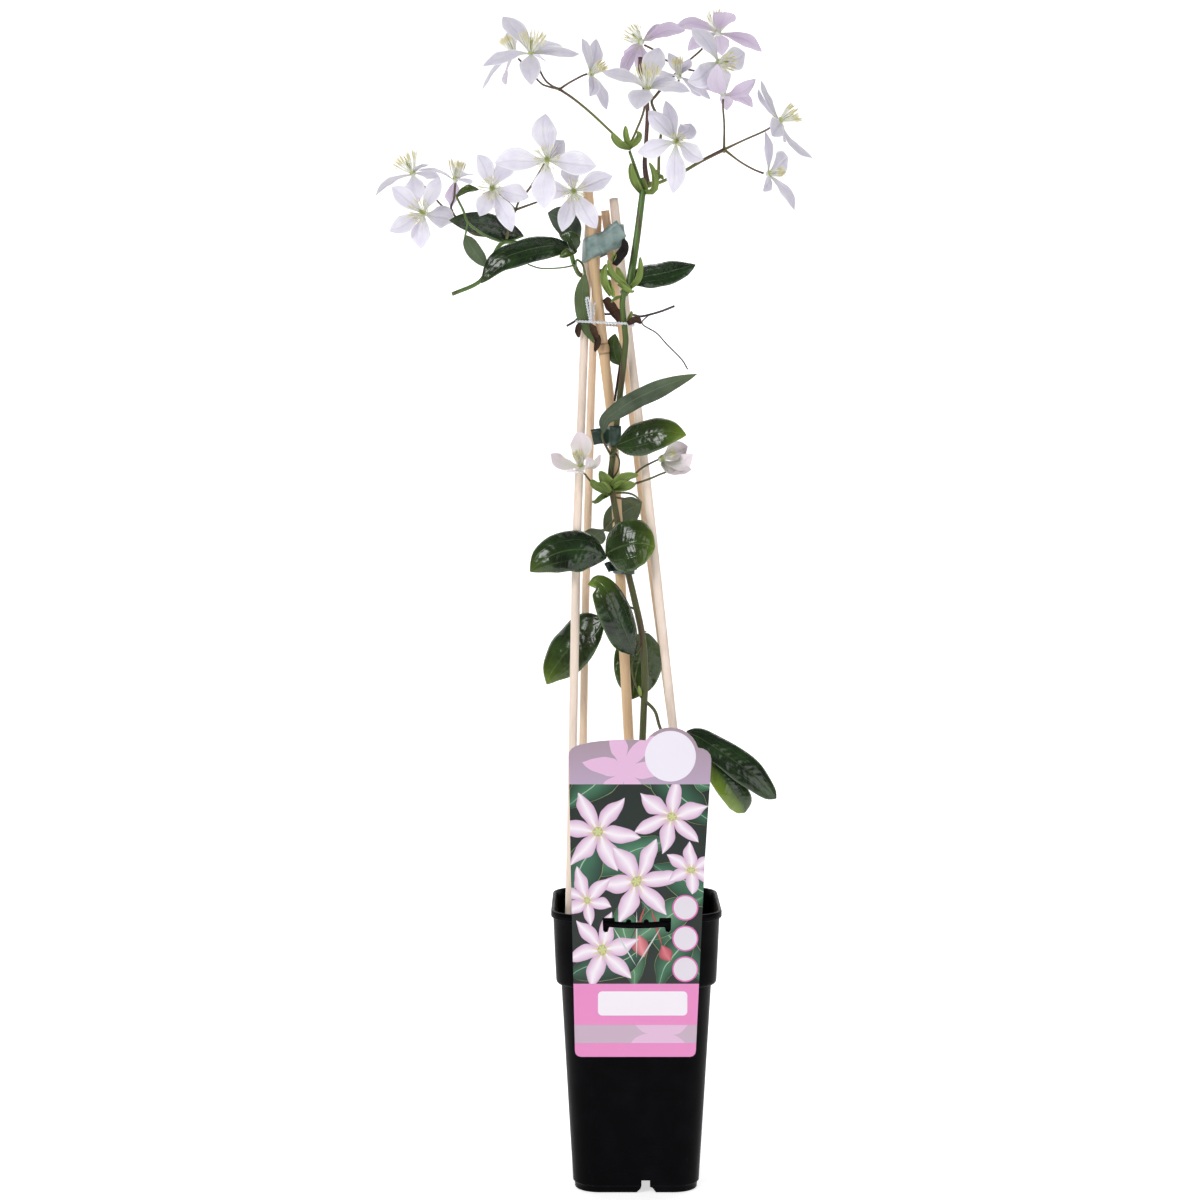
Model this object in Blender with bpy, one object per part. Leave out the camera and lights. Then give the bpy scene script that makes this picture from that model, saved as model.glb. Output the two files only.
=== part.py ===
"""Clematis plant on tied bamboo canes in a square nursery pot, with its hanging card label.

The tables are in millimetres: +X to the right, +Y away from the front, +Z up, and the
origin in the middle of the underside of the pot. Objects are built in metres.
"""
import math

import bmesh
import bpy
import numpy as np
from mathutils import Matrix, Vector

MM = 0.001
GAP = 0.35                     # clearance between neighbouring pieces

# ---------------------------------------------------------------- pot and soil
POT_HEIGHT = 200.0
CORNER = 24.0                  # corner radius of the lip
WALL = 2.0
# (height, half width) of the middle stud, the hollow round it, the outside, then the inside down to the floor
FOOT_STUD, STUD_CORNER = [(0, 3.3), (9.5, 3.6)], 1.2
FOOT_HOLLOW = [(9.5, 39.6), (0, 40.4)]
POT_OUTSIDE = [(0, 43.2), (4.2, 43.4), (5.0, 44.6), (147, 53.0), (148.5, 56.3),
               (194.6, 58.5), (195.4, 60.0), (199.4, 60.0), (POT_HEIGHT, 59.4)]
POT_INSIDE = [(POT_HEIGHT, 57.6), (195, 56.5), (151, 54.3), (149.6, 51.0), (11.5, 42.6)]
# outline (across, up) of the drain notch in the foot, wider where it meets the ground
NOTCH = [(-7.5, -1), (-3.6, 2.8), (-3, 5), (-3, 9), (3, 9), (3, 4), (4.8, 3.4), (8, -1)]
NOTCH_OFFSET = 6.6
SOIL_SHAPE = [(12.0, 42.1), (150.6, 50.6), (152, 53.8), (180.5, 55.3), (182, 52.0), (184, 30.0)]

# ---------------------------------------------------------------- label
CARD = 0.8                     # thickness of the card
CARD_FRONT = -61.3             # y of its printed face
CARD_BOTTOM = 101.0
CARD_RIGHT = [(47, 239), (51.2, 305), (51.2, 309), (50.6, 312), (48.5, 314.6), (45.5, 316.2)]
CARD_LEFT = [(-3.9, 322.6), (-13.8, 322.4), (-25, 321.6), (-32, 320.7), (-39, 319.2), (-42.6, 318),
             (-45.3, 316.2), (-46.8, 314), (-47.2, 311), (-46, 239)]
LOBE_MIDDLE, LOBE_RADIUS = (23.0, 311.0), 20.0
SLOT_HALF = 23.5               # half length of the curved slot
SLOT_LOW, SLOT_RISE, SLOT_WIDE = 193.1, 1.6, 4.4
# the slot's right end below and above (mirrored on the left), and the two round nicks over it
LUG_BELOW = [(19.2, 191.8), (20.2, 188.6), (22.3, 188.2), (23.5, 189.5)]
LUG_ABOVE = [(23.8, 198.4), (15.6, 198.4)]
NICK = [(2, 0), (1.5, 1.5), (0, 2.2), (-1.5, 1.5), (-2, 0)]
NICKS = (6.4, -5.8)

# ---------------------------------------------------------------- canes: radius, colour, course, joints
CANES = {
    "cane_front_left": (3.05, (0.81, 0.62, 0.47), (0.35, 0.72), [
        (-48, -37, 153), (-47, -35, 197), (-42, -21, 459), (-37, -12, 592), (-33, -4, 687)]),
    "cane_back_left": (2.8, (0.72, 0.53, 0.32), (0.28, 0.66), [
        (-41, 44, 153), (-40, 40, 193), (-36, 22, 414), (-32, 11, 558), (-27, 4, 688)]),
    "cane_middle": (3.6, (0.64, 0.44, 0.21), (0.3, 0.795), [
        (3, -4, 153), (1, -5, 201), (-17, -11, 543), (-23, -12, 591), (-31, -13, 662), (-34, -14, 703)]),
    "cane_back_right": (2.9, (0.68, 0.41, 0.19), (0.4, 0.75), [
        (49, 33, 154), (43, 30, 199), (13, 20, 427), (4, 14, 493), (-7, 7, 586), (-22, 0, 691)]),
    "cane_front_right": (3.2, (0.8, 0.62, 0.46), (0.3, 0.7), [
        (45, -41, 153), (40, -38, 197), (16, -23, 417), (7, -17, 501), (-6, -10, 607), (-16, -3, 699)]),
}

# ---------------------------------------------------------------- ties
TAPE = 0.9                     # thickness of the soft tape
STRING_HEIGHT, STRING_RADIUS = 611.0, 0.7
# what the string holds besides the canes, as x, y, radius: the stem and the two edges of a leaf
STRING_HOLDS = [(-8.5, -23, 2.2), (-40.5, -15.8, 0.3), (-31.5, -15.8, 0.3)]
WIRE_RADIUS = 0.8

# ---------------------------------------------------------------- stems: radius at each end, course
MAIN_STEM = (2.3, 1.8, [
    (3, -24, 153), (3, -24, 201), (3, -24, 276), (5, -24, 334), (6, -24, 363), (4, -24, 392),
    (-2, -23, 420),
    (-6, -22, 437), (-13, -21, 471), (-17, -20, 493), (-18, -20, 505), (-16, -20, 522), (-12, -21, 557),
    (-8, -23, 593), (-8, -23, 604), (-10, -23, 624), (-8, -23, 634)])
GREEN_STEMS = [
    (3.0, 2.1, [(-9, -23, 631), (-5, -21, 639), (0, -16, 669), (4, -10, 700), (5, -9, 704)]),
    (1.4, 1.0, [(5, -9, 702), (0, -11, 717), (-5, -13, 731.2)]),
    (0.9, 0.7, [(6, -24, 346), (13, -30, 339), (17, -36, 327), (25, -42, 319), (34, -46, 324)]),
    (0.8, 0.7, [(17, -36, 327), (30, -45, 316), (44, -48, 312)]),
    (0.7, 0.6, [(5, -24, 346), (2, -25, 351), (-3, -24, 366), (-1, -18, 380), (5, -8, 392), (7, 0, 393)]),
    (0.9, 0.6, [(-19, -20, 492), (-28, -22, 496), (-32, -24, 500), (-36, -25, 505), (-38.5, -26, 508)]),
    (0.9, 0.6, [(-15, -20, 497), (-5, -22, 502), (3, -24, 509), (10, -25, 513), (15.5, -26, 515.6)]),
    (0.8, 0.6, [(-15, -20, 495), (0, -24, 499), (9, -27, 502), (16, -28, 505), (21, -28, 507),
                (22, -28, 509)]),
    (0.8, 0.7, [(-15, -20, 489), (-5, -24, 487), (-1, -26, 482), (0, -30, 474), (-4, -34, 462)]),
    (0.8, 0.7, [(-13, -21, 470), (-18, -23, 458), (-21, -25, 451)]),
    (0.8, 0.7, [(-14, -20, 475), (-22, -18, 466), (-24, -13, 466)]),
    (0.9, 0.8, [(-17, -20, 517), (-21, -25, 524), (-24, -28, 531), (-23, -28, 537)]),
    (0.9, 0.8, [(-17, -20, 518), (-17, -25, 519), (-14, -28, 522)]),
    (0.7, 0.6, [(-17, -20, 521), (-14, -24, 519), (-12, -26, 514), (-13, -25, 508), (-16, -21, 503)]),
    (0.8, 0.7, [(0, -23, 410), (-8, -21, 413), (-14, -17, 413), (-21, -12, 412)]),
    (0.8, 0.7, [(-16, -20, 492), (-7, -17, 492), (-1, -9, 490), (4, 4, 485)]),
    (0.7, 0.6, [(-10, -22, 573), (-11, -17, 577), (-12, -10, 582.5)]),
    (0.8, 0.7, [(4, -24, 388), (2, -29, 383), (0, -32, 379)]),
    (0.9, 0.8, [(-8, -23, 632), (-2, -20, 633)]),
]
SIDE_STEMS = [
    (1.8, 1.4, [(-13.5, -18.5, 641), (-19, -12, 646), (-25, -4, 648), (-33, 0.5, 646), (-40, -1, 646),
                (-44, -8, 653), (-47, -13, 661), (-56, -13, 664), (-75, -6, 666), (-94, 4, 669),
                (-103, 2, 655), (-111, 0, 641), (-130, -4, 632)]),
    (0.9, 0.8, [(-94, 4, 669), (-103, -12, 671), (-111, -20, 675), (-118, -22, 681), (-121, -22, 689),
                (-125, -20, 697), (-126, -18, 700)]),
    (0.7, 0.7, [(-118, -22, 681), (-119, -21, 675), (-120, -19, 671)]),
    (0.6, 0.5, [(-44, -8, 653), (-45, -18, 651), (-54, -23, 649), (-67, -20, 649), (-76, -16, 652)]),
    (0.8, 0.7, [(-43, -5, 649), (-42, -15, 655), (-38, -20, 652), (-36, -21, 645)]),
    (0.8, 0.7, [(-47, -13, 661), (-43, -17, 664), (-40, -19, 668)]),
    (0.8, 0.7, [(-47, -13, 661), (-44, -20, 662), (-42, -23, 661)]),
    (0.9, 0.8, [(-94, 4, 669), (-88, 6, 671), (-80, 8, 674)]),
]
# flower stalks: each spray holds together as one piece
STALKS = {
    "stalks_left": [
        (1.1, 0.9, [(-6, -12, 733), (-17, -10, 744), (-32, -10, 758), (-44, -8, 768), (-54, -6, 775)]),
        (0.8, 0.7, [(-54, -6, 775), (-60, -5, 778), (-65, -4, 783), (-71, -4.5, 795)]),
        (0.8, 0.7, [(-54, -6, 775), (-62, 2, 778), (-68, 10, 782), (-78, 24, 795), (-84, 32, 802)]),
        (0.8, 0.7, [(-54, -6, 775), (-47, -10, 779), (-38, -15, 783), (-34.5, -16.5, 784)]),
        (0.9, 0.8, [(-6, -12, 734), (-3, -15, 739), (0, -22, 745), (4, -33, 754), (6.5, -46, 764)])],
    "stalks_top": [
        (1.9, 1.5, [(8, -3, 708), (6, 1, 723), (7, 2, 741), (8, 4, 762), (6, 5, 776), (3, 5, 787),
                    (3, 5, 799)]),
        (1.2, 1.0, [(8, -3, 709), (15, 0, 713), (16, 2, 729), (17, 2, 741), (18, 4, 753), (14, 6, 760),
                    (11, 8, 768), (14, 11, 773), (22, 17, 783), (33, 21, 794)]),
        (0.8, 0.7, [(33, 21, 794), (27, 22, 797), (21, 23, 800), (14, 22, 806), (6, 24, 810.5)]),
        (0.8, 0.7, [(32, 21, 793), (36, 23, 798), (45, 27, 806), (54, 33, 816)]),
        (0.8, 0.7, [(33, 21, 794), (42, 8, 790), (50, -2, 791), (54.5, -9, 792.5)]),
        (0.8, 0.7, [(22, 17, 783), (26, 9, 780), (30, 1.5, 782)]),
        (0.8, 0.7, [(17, 1, 741), (20, -14, 738), (25, -25, 736), (26.5, -31, 735.5)]),
        (1.4, 1.2, [(9, -3, 709), (17, 1, 711), (32, 4, 718), (46, 3, 726), (62, 2, 734)]),
        (0.9, 0.7, [(62, 2, 733), (62, 1, 751), (61, -2, 762), (60.8, -5.5, 768)]),
        (0.9, 0.7, [(62, 2, 734), (76, -4, 740), (91, -11, 746), (97, -14.5, 750.5)]),
        (0.9, 0.7, [(62, 2, 734), (73, 4, 726), (83, 9, 721), (90.5, 12.5, 718.5)])],
    "stalks_front": [
        (1.0, 0.8, [(-91.5, 0.2, 671.5), (-90.5, -3.5, 676), (-88, -6.5, 683), (-85, -6, 691),
                    (-82, -6, 698), (-76, -12, 704),
                    (-70, -26, 711), (-64, -39, 719)]),
        (0.8, 0.7, [(-85, -6, 691), (-92, -11, 698), (-98, -20, 703)]),
        (0.8, 0.7, [(-85, -6, 691), (-64, -9, 698), (-50, -16, 701), (-45, -22, 702)])],
    "stalks_back": [
        (1.0, 0.8, [(-94, 8, 671), (-105, 14, 674), (-118, 14, 677), (-131, 14, 692), (-130, 24, 702),
                    (-130, 40, 714)]),
        (0.8, 0.7, [(-131, 14, 692), (-139, 10, 691), (-149, 4, 689)]),
        (0.8, 0.7, [(-131, 14, 692), (-137, 14, 695), (-142, 17, 700), (-150, 19, 709),
                    (-158, 20.5, 716.5)])],
}

# ---------------------------------------------------------------- leaves
# base, middle, tip, width, side that the upper face looks to
MAIN_LEAVES = [
    ((33, -46, 325), (69, -50, 306), (99, -50, 280), 23, (20, -90, 40)),
    ((44, -48, 312), (58, -54, 292), (74, -46, 273), 18, (-30, 80, 40)),
    ((7, 0, 393), (2.5, 5, 368), (-3, 0, 343), 34, (10, -90, 10)),
    ((-20, -12, 412), (-43, -10, 383), (-64, -6, 356), 30, (-40, -80, 20)),
    ((0, -32, 379), (-15, -43, 411), (-34.4, -36, 428.5), 25, (30, -90, 30)),
    ((-21, -25, 450), (-50, -34, 453), (-74, -36, 438), 29, (0, -95, 30)),
    ((-21, -26, 451), (-3, -38, 457), (13, -34, 455), 36, (10, -90, 30)),
    ((4, 4, 485), (-10, 2, 477), (-23, 2, 465), 22, (0, 80, 50)),
    ((-24, -13, 466), (-30, -6, 461), (-36, 2, 455), 15, (0, 80, 50)),
    ((-23, -28, 536), (6, -36, 557), (41, -46, 575), 26, (30, -50, 80)),
    ((-14, -28, 522), (11, -38, 534), (35, -44, 533), 25, (0, -90, 40)),
    ((-2, -20, 633), (16, -9, 646), (42, 0, 653.3), 22, (0, -80, 40)),
    ((-12, -10, 582), (-13, -9, 594), (-13, -10, 606), 8, (0, -90, 0)),
]
SIDE_LEAVES = [
    ((-36, -21, 646), (-38, -16.5, 622), (-30, -15.5, 597), 11, (-10, 80, 0)),
    ((-48, -14, 662), (-80, -29, 659), (-110, -30, 638), 20, (0, -90, 40)),
    ((-80, 8, 674), (-105, -2, 681), (-131, -14, 683), 17, (10, -95, 10)),
    ((-126, -18, 699), (-118, -20, 703), (-110, -18, 704), 9, (0, -60, 70)),
    ((-120, -19, 672), (-114, -20, 662), (-105, -18, 650), 11, (0, 80, 30)),
    ((-40, -19, 668), (-50, -11, 682), (-62, -5, 689), 21, (30, 80, 30)),
    ((-42.3, -22.8, 661.4), (-46, -26, 669), (-53, -24, 671), 10, (0, -80, 50)),
    ((-43.7, -20.3, 661.7), (-47, -28, 659), (-54, -28, 656), 8, (0, -80, 50)),
]
# bracts and young leaflets at the nodes: base, tip, width
MAIN_BRACTS = [
    ((5, -9, 702), (-2, -10, 711), 4), ((5, -9, 703), (13, -8, 716), 5),
    ((5, -9, 701), (-6, -12, 702), 4),
    ((-5, -13, 729), (-14, -19, 740), 5), ((-5, -13, 729), (-10, -21, 748), 4),
    ((-5, -13, 728), (5, -9, 741), 4),
    ((-6, -23, 632), (3, -25, 655), 5), ((-8, -24, 632), (-20, -27, 654), 4),
    ((-9, -23, 633), (-14, -27, 650), 6),
    ((-11, -23, 627), (-23, -26, 650), 5), ((-10, -24, 630), (-17, -29, 658), 4),
    ((-17, -21, 493), (-32, -26, 498), 9), ((-17, -21, 494), (-26, -25, 507), 6),
    ((-18, -21, 492), (-31, -26, 486), 5),
    ((-16, -21, 493), (-2, -25, 503), 7), ((-16, -22, 493), (-5, -27, 492), 7),
    ((-16, -20, 496), (-9, -24, 507), 5),
    ((6, -25, 346), (15, -28, 349), 4), ((5, -25, 346), (0, -27, 356), 4),
    ((-17, -21, 521), (-27, -25, 520), 6),
]

# ---------------------------------------------------------------- blooms
# middle, facing, length and spread of the stamens, petals as (dx, dy, dz, width, arch)
BLOOMS = [
    ((-74, -5, 800), (10, -50, 86), 17, 46,
     [(-20, 14, 28, 17, 0.1), (-34, -7, -9, 14, 0.1), (1, -26, -25, 16, 0.1), (34, 9, 1, 13, 0.06),
      (22, 26, 9, 13, 0.1)]),
    ((-87, 34, 806), (-45, -20, 87), 14, 30,
     [(-23, 6, -25, 10, 0.1), (-7, 22, -19, 12, 0.1), (23, 18, -2, 13, 0.1),
      (-3, 24, 22, 12, 0.06)]),
    ((-32, -18, 784), (72, -55, 42), 13, 24,
     [(-6, -14, 22, 12, 0.06), (4, 12, 26, 13, 0.06), (0, -20, -18, 11, 0.1),
      (12, 6, -24, 13, 0.06)]),
    ((4, 26, 813), (-60, 50, 62), 15, 36,
     [(-11, 22, -9, 11, 0.1), (-14, 4, -26, 12, 0.1), (3, 14, -22, 13, 0.1), (31, -6, 7, 13, 0.12),
      (20, 20, 12, 12, 0.1)]),
    ((7, -50, 769), (0, -50, 87), 18, 38,
     [(8, 15, 31, 17, 0.06), (-31, 8, 13, 15, 0.1), (29, -8, -2, 15, 0.1),
      (-8, -27, -17, 18, 0.12), (19, 24, 12, 13, 0.1)]),
    ((30, 2, 785), (-10, -35, 90), 13, 22,
     [(22, -16, -18, 9, 0.08), (16, 6, -13, 14, 0.1), (-12, -26, -6, 14, 0.1),
      (-7, 10, 18, 9, 0.06), (8, 12, 14, 10, 0.06)]),
    ((59, 36, 821), (12, 35, 93), 17, 44,
     [(-33, -6, 3, 14, 0.18), (4, -28, 11, 17, 0.06), (32, 0, -13, 13, 0.1), (4, 24, -12, 13, 0.1),
      (-21, 20, -9, 13, 0.1)]),
    ((57, -12, 793), (70, -70, -10), 14, 38,
     [(-18, 12, 26, 17, 0.1), (20, 24, 10, 18, 0.08), (-22, -16, -16, 17, 0.1),
      (6, -3, -17, 12, 0.04)]),
    ((60.7, -6, 771.2), (10, 30, 95), 12, 20,
     [(-5, -26, 18, 14, -0.2), (-16, 26, 8, 12, 0.06), (22, -8, 10, 13, -0.2),
      (22, 18, -6, 11, 0.1), (4, 28, -7, 10, 0.1)]),
    ((100, -15, 752), (85, -25, 46), 15, 38,
     [(-13, 0, 28, 12, -0.05), (-14, 16, 24, 11, -0.05), (24, 4, -25, 12, -0.12),
      (-7, -28, -14, 16, 0.1), (4, 22, -12, 10, 0.1)]),
    ((94, 12, 718), (92, -38, 10), 11, 20,
     [(-2, -6, 29, 12, 0.05), (17, 24, 15, 17, 0.06), (19, -8, -26, 15, 0.1),
      (-5, -26, -15, 11, 0.1)]),
    ((27, -35, 735), (12, -98, 5), 11, 36,
     [(-19, 3, 22, 16, 0.06), (-7, 8, 29, 12, 0.06), (11, 24, 15, 17, 0.08),
      (19, 2, -12, 16, 0.06), (-2, -2, -36, 17, 0.06), (-27, 2, -7, 16, 0.06)]),
    ((-62, -45, 721), (0, -100, 5), 14, 56,
     [(-1, 4, 33, 18, 0.06), (-36, 0, -2, 17, 0.06), (34, 0, -4, 18, 0.06), (11, 22, 16, 14, 0.06),
      (-2, 3, -33, 18, 0.06)]),
    ((-44, -26, 702), (5, -98, -10), 14, 54,
     [(-4, 14, 20, 14, 0.06), (27, 6, 11, 15, 0.06), (16, -1, -26, 15, 0.06),
      (-8, 1, -28, 13, 0.06), (-24, 8, 1, 14, 0.06)]),
    ((-100, -25, 704), (-15, -97, -10), 13, 50,
     [(-11, 4, 24, 13, 0.06), (12, 8, 23, 14, 0.06), (25, 3, -6, 14, 0.06), (13, 0, -30, 14, 0.06),
      (-9, -10, -20, 14, 0.06)]),
    ((-150, 0, 689), (-30, -93, 12), 14, 52,
     [(-23, 4, 19, 14, 0.06), (11, -1, 26, 13, 0.06), (21, 10, -5, 17, 0.06),
      (-2, -2, -25, 15, 0.06), (-24, -6, -13, 14, 0.06)]),
    ((-159, 20, 719), (-45, -20, 87), 17, 46,
     [(-27, 0, -15, 13, 0.1), (4, -9, -21, 18, 0.1), (19, -3, -3, 12, 0.1), (11, 12, 9, 13, 0.1)]),
    ((-130, 42, 717), (10, 0, 99), 14, 34,
     [(-26, -10, 6, 14, 0.12), (12, -26, -6, 11, 0.1), (-4, 18, -18, 11, 0.1),
      (12, 25, 6, 12, 0.1)]),
    ((-39, -26, 511), (-20, -45, 87), 11, 26,
     [(-1, -2, 26, 14, -0.1), (-20, -4, 12, 13, -0.14), (15, -10, 10, 11, -0.2),
      (-11, -20, 5, 13, -0.2), (5, -20, 8, 11, -0.2)]),
    ((17, -26, 516), (85, -30, 42), 10, 12,
     [(9, -18, 12, 13, -0.2), (21, 8, 10, 14, -0.16), (23, -8, -4, 13, -0.2),
      (15, 4, -12, 11, -0.2)]),
]


# ================================================================ tools
def clear_scene():
    """Remove what the file opened with."""
    for thing in list(bpy.data.objects):
        bpy.data.objects.remove(thing)


def new_collection(name):
    """A collection linked to the scene."""
    group = bpy.data.collections.new(name)
    bpy.context.scene.collection.children.link(group)
    return group


def material(name, colour, roughness=0.5):
    """A plain Principled material, made once for each name."""
    if name in bpy.data.materials:
        return bpy.data.materials[name]
    made = bpy.data.materials.new(name)
    made.use_nodes = True
    shader = made.node_tree.nodes["Principled BSDF"]
    shader.inputs["Base Color"].default_value = (*colour, 1)
    shader.inputs["Roughness"].default_value = roughness
    made.diffuse_color = (*colour, 1)
    return made


def mesh_object(name, verts, faces, group=None):
    """A mesh object from corners in millimetres."""
    mesh = bpy.data.meshes.new(name)
    mesh.from_pydata([tuple(c * MM for c in v) for v in verts], [], faces)
    made = bpy.data.objects.new(name, mesh)
    (group or PARTS).objects.link(made)
    return made


def finish(made, look, smooth=True, sharp=50):
    """Give an object its material and its shading."""
    made.data.materials.clear()
    made.data.materials.append(look)
    if smooth:
        made.data.shade_smooth()
        made.data.set_sharp_from_angle(angle=math.radians(sharp))
    return made


def loft(sections, name, group=None):
    """A closed solid through rings of equally many corners, with a flat cap at each end."""
    count = len(sections[0])
    verts = [v for ring in sections for v in ring]
    faces = [tuple(reversed(range(count)))]
    for k in range(len(sections) - 1):
        for i in range(count):
            j = (i + 1) % count
            faces.append((k * count + i, k * count + j, (k + 1) * count + j, (k + 1) * count + i))
    last = (len(sections) - 1) * count
    faces.append(tuple(range(last, last + count)))
    return mesh_object(name, verts, faces, group)


def evaluated_mesh(made):
    """The object's mesh with its modifiers or bevel applied."""
    bpy.context.view_layer.update()
    graph = bpy.context.evaluated_depsgraph_get()
    return bpy.data.meshes.new_from_object(made.evaluated_get(graph))


def smooth_course(points, steps=2):
    """Points on a smooth curve through the given ones (Catmull-Rom)."""
    p = [np.array(q, float) for q in points]
    p = [2 * p[0] - p[1]] + p + [2 * p[-1] - p[-2]]
    out = []
    for a, b, c, d in zip(p, p[1:], p[2:], p[3:]):
        for k in range(steps):
            t = k / steps
            out.append(0.5 * (2 * b + (c - a) * t + (2 * a - 5 * b + 4 * c - d) * t * t
                              + (3 * b - a - 3 * c + d) * t ** 3))
    return out + [p[-2]]


def tube(points, radii, name="tube", resolution=0):
    """A round tube through the points, as a closed mesh object made from a bevelled curve."""
    curve = bpy.data.curves.new(name, "CURVE")
    curve.dimensions = "3D"
    curve.bevel_depth = MM
    curve.bevel_resolution = resolution
    curve.use_fill_caps = True
    spline = curve.splines.new("POLY")
    spline.points.add(len(points) - 1)
    for corner, place, radius in zip(spline.points, points, radii):
        corner.co = (*[c * MM for c in place], 1)
        corner.radius = radius
    source = bpy.data.objects.new(name, curve)
    PARTS.objects.link(source)
    mesh = evaluated_mesh(source)
    bpy.data.objects.remove(source)
    shape = bmesh.new()
    shape.from_mesh(mesh)
    bmesh.ops.remove_doubles(shape, verts=shape.verts, dist=0.00001)
    shape.to_mesh(mesh)
    shape.free()
    made = bpy.data.objects.new(name, mesh)
    PARTS.objects.link(made)
    return made


def stem(start, end, course, steps=1, resolution=0):
    """A stem that tapers from one radius to the other."""
    points = smooth_course(course, steps)
    return tube(points, np.linspace(start, end, len(points)), "stem", resolution)


def blade(base, middle, tip, facing, width, profile, thickness=0.7, fold=0.0, columns=(-1, 0, 1)):
    """A thin arched blade: flat sections across a bent midrib, split alike on both faces."""
    base, middle, tip, facing = (Vector(v) for v in (base, middle, tip, facing))
    bend = middle * 2 - (base + tip) * 0.5
    verts = []
    for along, share in profile:
        spot = base.lerp(bend, along).lerp(bend.lerp(tip, along), along)
        ahead = ((bend - base).lerp(tip - bend, along)).normalized()
        across = ahead.cross(facing).normalized()
        up = across.cross(ahead).normalized()
        half = width * share / 2
        for face in (thickness / 2, -thickness / 2):
            verts += [spot + across * half * side + up * (half * fold * abs(side) + face)
                      for side in columns]
    wide, last = len(columns), len(profile) - 1
    faces = []
    for k in range(last):
        upper, lower = 2 * wide * k, 2 * wide * k + wide
        for i in range(wide - 1):
            for start, turned in ((upper + i, False), (lower + i, True)):
                ahead_of = start + 2 * wide
                pair = [(start, start + 1, ahead_of), (start + 1, ahead_of + 1, ahead_of)]
                faces += [tuple(reversed(f)) for f in pair] if turned else pair
        for i, turned in ((0, False), (wide - 1, True)):
            a, b, c, d = upper + i, lower + i, upper + i + 2 * wide, lower + i + 2 * wide
            pair = [(a, c, b), (b, c, d)]
            faces += [tuple(reversed(f)) for f in pair] if turned else pair
    for row, turned in ((0, True), (last, False)):
        first = 2 * wide * row
        ring = [first + i for i in range(wide)] + [first + wide + i for i in reversed(range(wide))]
        faces.append(tuple(reversed(ring)) if not turned else tuple(ring))
    made = mesh_object("blade", verts, faces)
    turn_outwards(made)
    return made


def open_edges(mesh):
    """How many edges of a mesh don't have exactly two faces."""
    shape = bmesh.new()
    shape.from_mesh(mesh)
    count = sum(1 for edge in shape.edges if len(edge.link_faces) != 2)
    shape.free()
    return count


def islands(shape):
    """The separate shells of a bmesh, as lists of faces."""
    seen, groups = set(), []
    for first in shape.faces:
        if first in seen:
            continue
        seen.add(first)
        group = [first]
        for face in group:
            for edge in face.edges:
                for other in edge.link_faces:
                    if other not in seen:
                        seen.add(other)
                        group.append(other)
        groups.append(group)
    return groups


def fill_hollows(mesh):
    """Drop the small inner shells that the union seals in, so the body there is solid."""
    shape = bmesh.new()
    shape.from_mesh(mesh)
    groups = islands(shape)
    for group in groups:
        if len(groups) > 1 and len(group) < 20:
            bmesh.ops.delete(shape, geom=group, context="FACES")
    shape.to_mesh(mesh)
    shape.free()


def fuse(name, pieces):
    """Join closed overlapping pieces into one body with a Boolean union on a collection."""
    body, rest = pieces[0], pieces[1:]
    body.name = name
    gathered = new_collection("gathered")
    for piece in rest:
        PARTS.objects.unlink(piece)
        gathered.objects.link(piece)
    union = body.modifiers.new("union", "BOOLEAN")
    union.operation = "UNION"
    union.operand_type = "COLLECTION"
    union.collection = gathered
    union.solver = "EXACT"
    mesh = evaluated_mesh(body)
    if open_edges(mesh):
        union.solver = "MANIFOLD"
        mesh = evaluated_mesh(body)
    fill_hollows(mesh)
    body.modifiers.clear()
    body.data = mesh
    for piece in rest:
        bpy.data.objects.remove(piece)
    bpy.data.collections.remove(gathered)
    return body


def cut(made, cutter):
    """Subtract a hidden cutter from an object."""
    cutter.hide_render = True
    cutter.display_type = "WIRE"
    away = made.modifiers.new(cutter.name, "BOOLEAN")
    away.operation = "DIFFERENCE"
    away.object = cutter


# ================================================================ pot, soil and label
def rounded_square(half, height, corner, steps=4):
    """Corners of a square ring with round corners, at one height."""
    ring = []
    for quarter in range(4):
        for k in range(steps + 1):
            turn = math.pi / 2 * (quarter + k / steps)
            sx, sy = [(1, 1), (-1, 1), (-1, -1), (1, -1)][quarter]
            ring.append((sx * (half - corner) + corner * math.cos(turn),
                         sy * (half - corner) + corner * math.sin(turn), height))
    return ring


def corner_at(half):
    """The corner radius shrinks with the pot."""
    return CORNER * half / 60.0


def smile(half, wide, front, back):
    """A closed band that curves up at both ends, as a loft along its length."""
    sections = []
    for k in range(9):
        x = half * (k / 4 - 1)
        middle = SLOT_LOW + SLOT_RISE * (x / SLOT_HALF) ** 2
        sections.append([(x, front, middle - wide / 2), (x, back, middle - wide / 2),
                         (x, back, middle + wide / 2), (x, front, middle + wide / 2)])
    return sections


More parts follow.
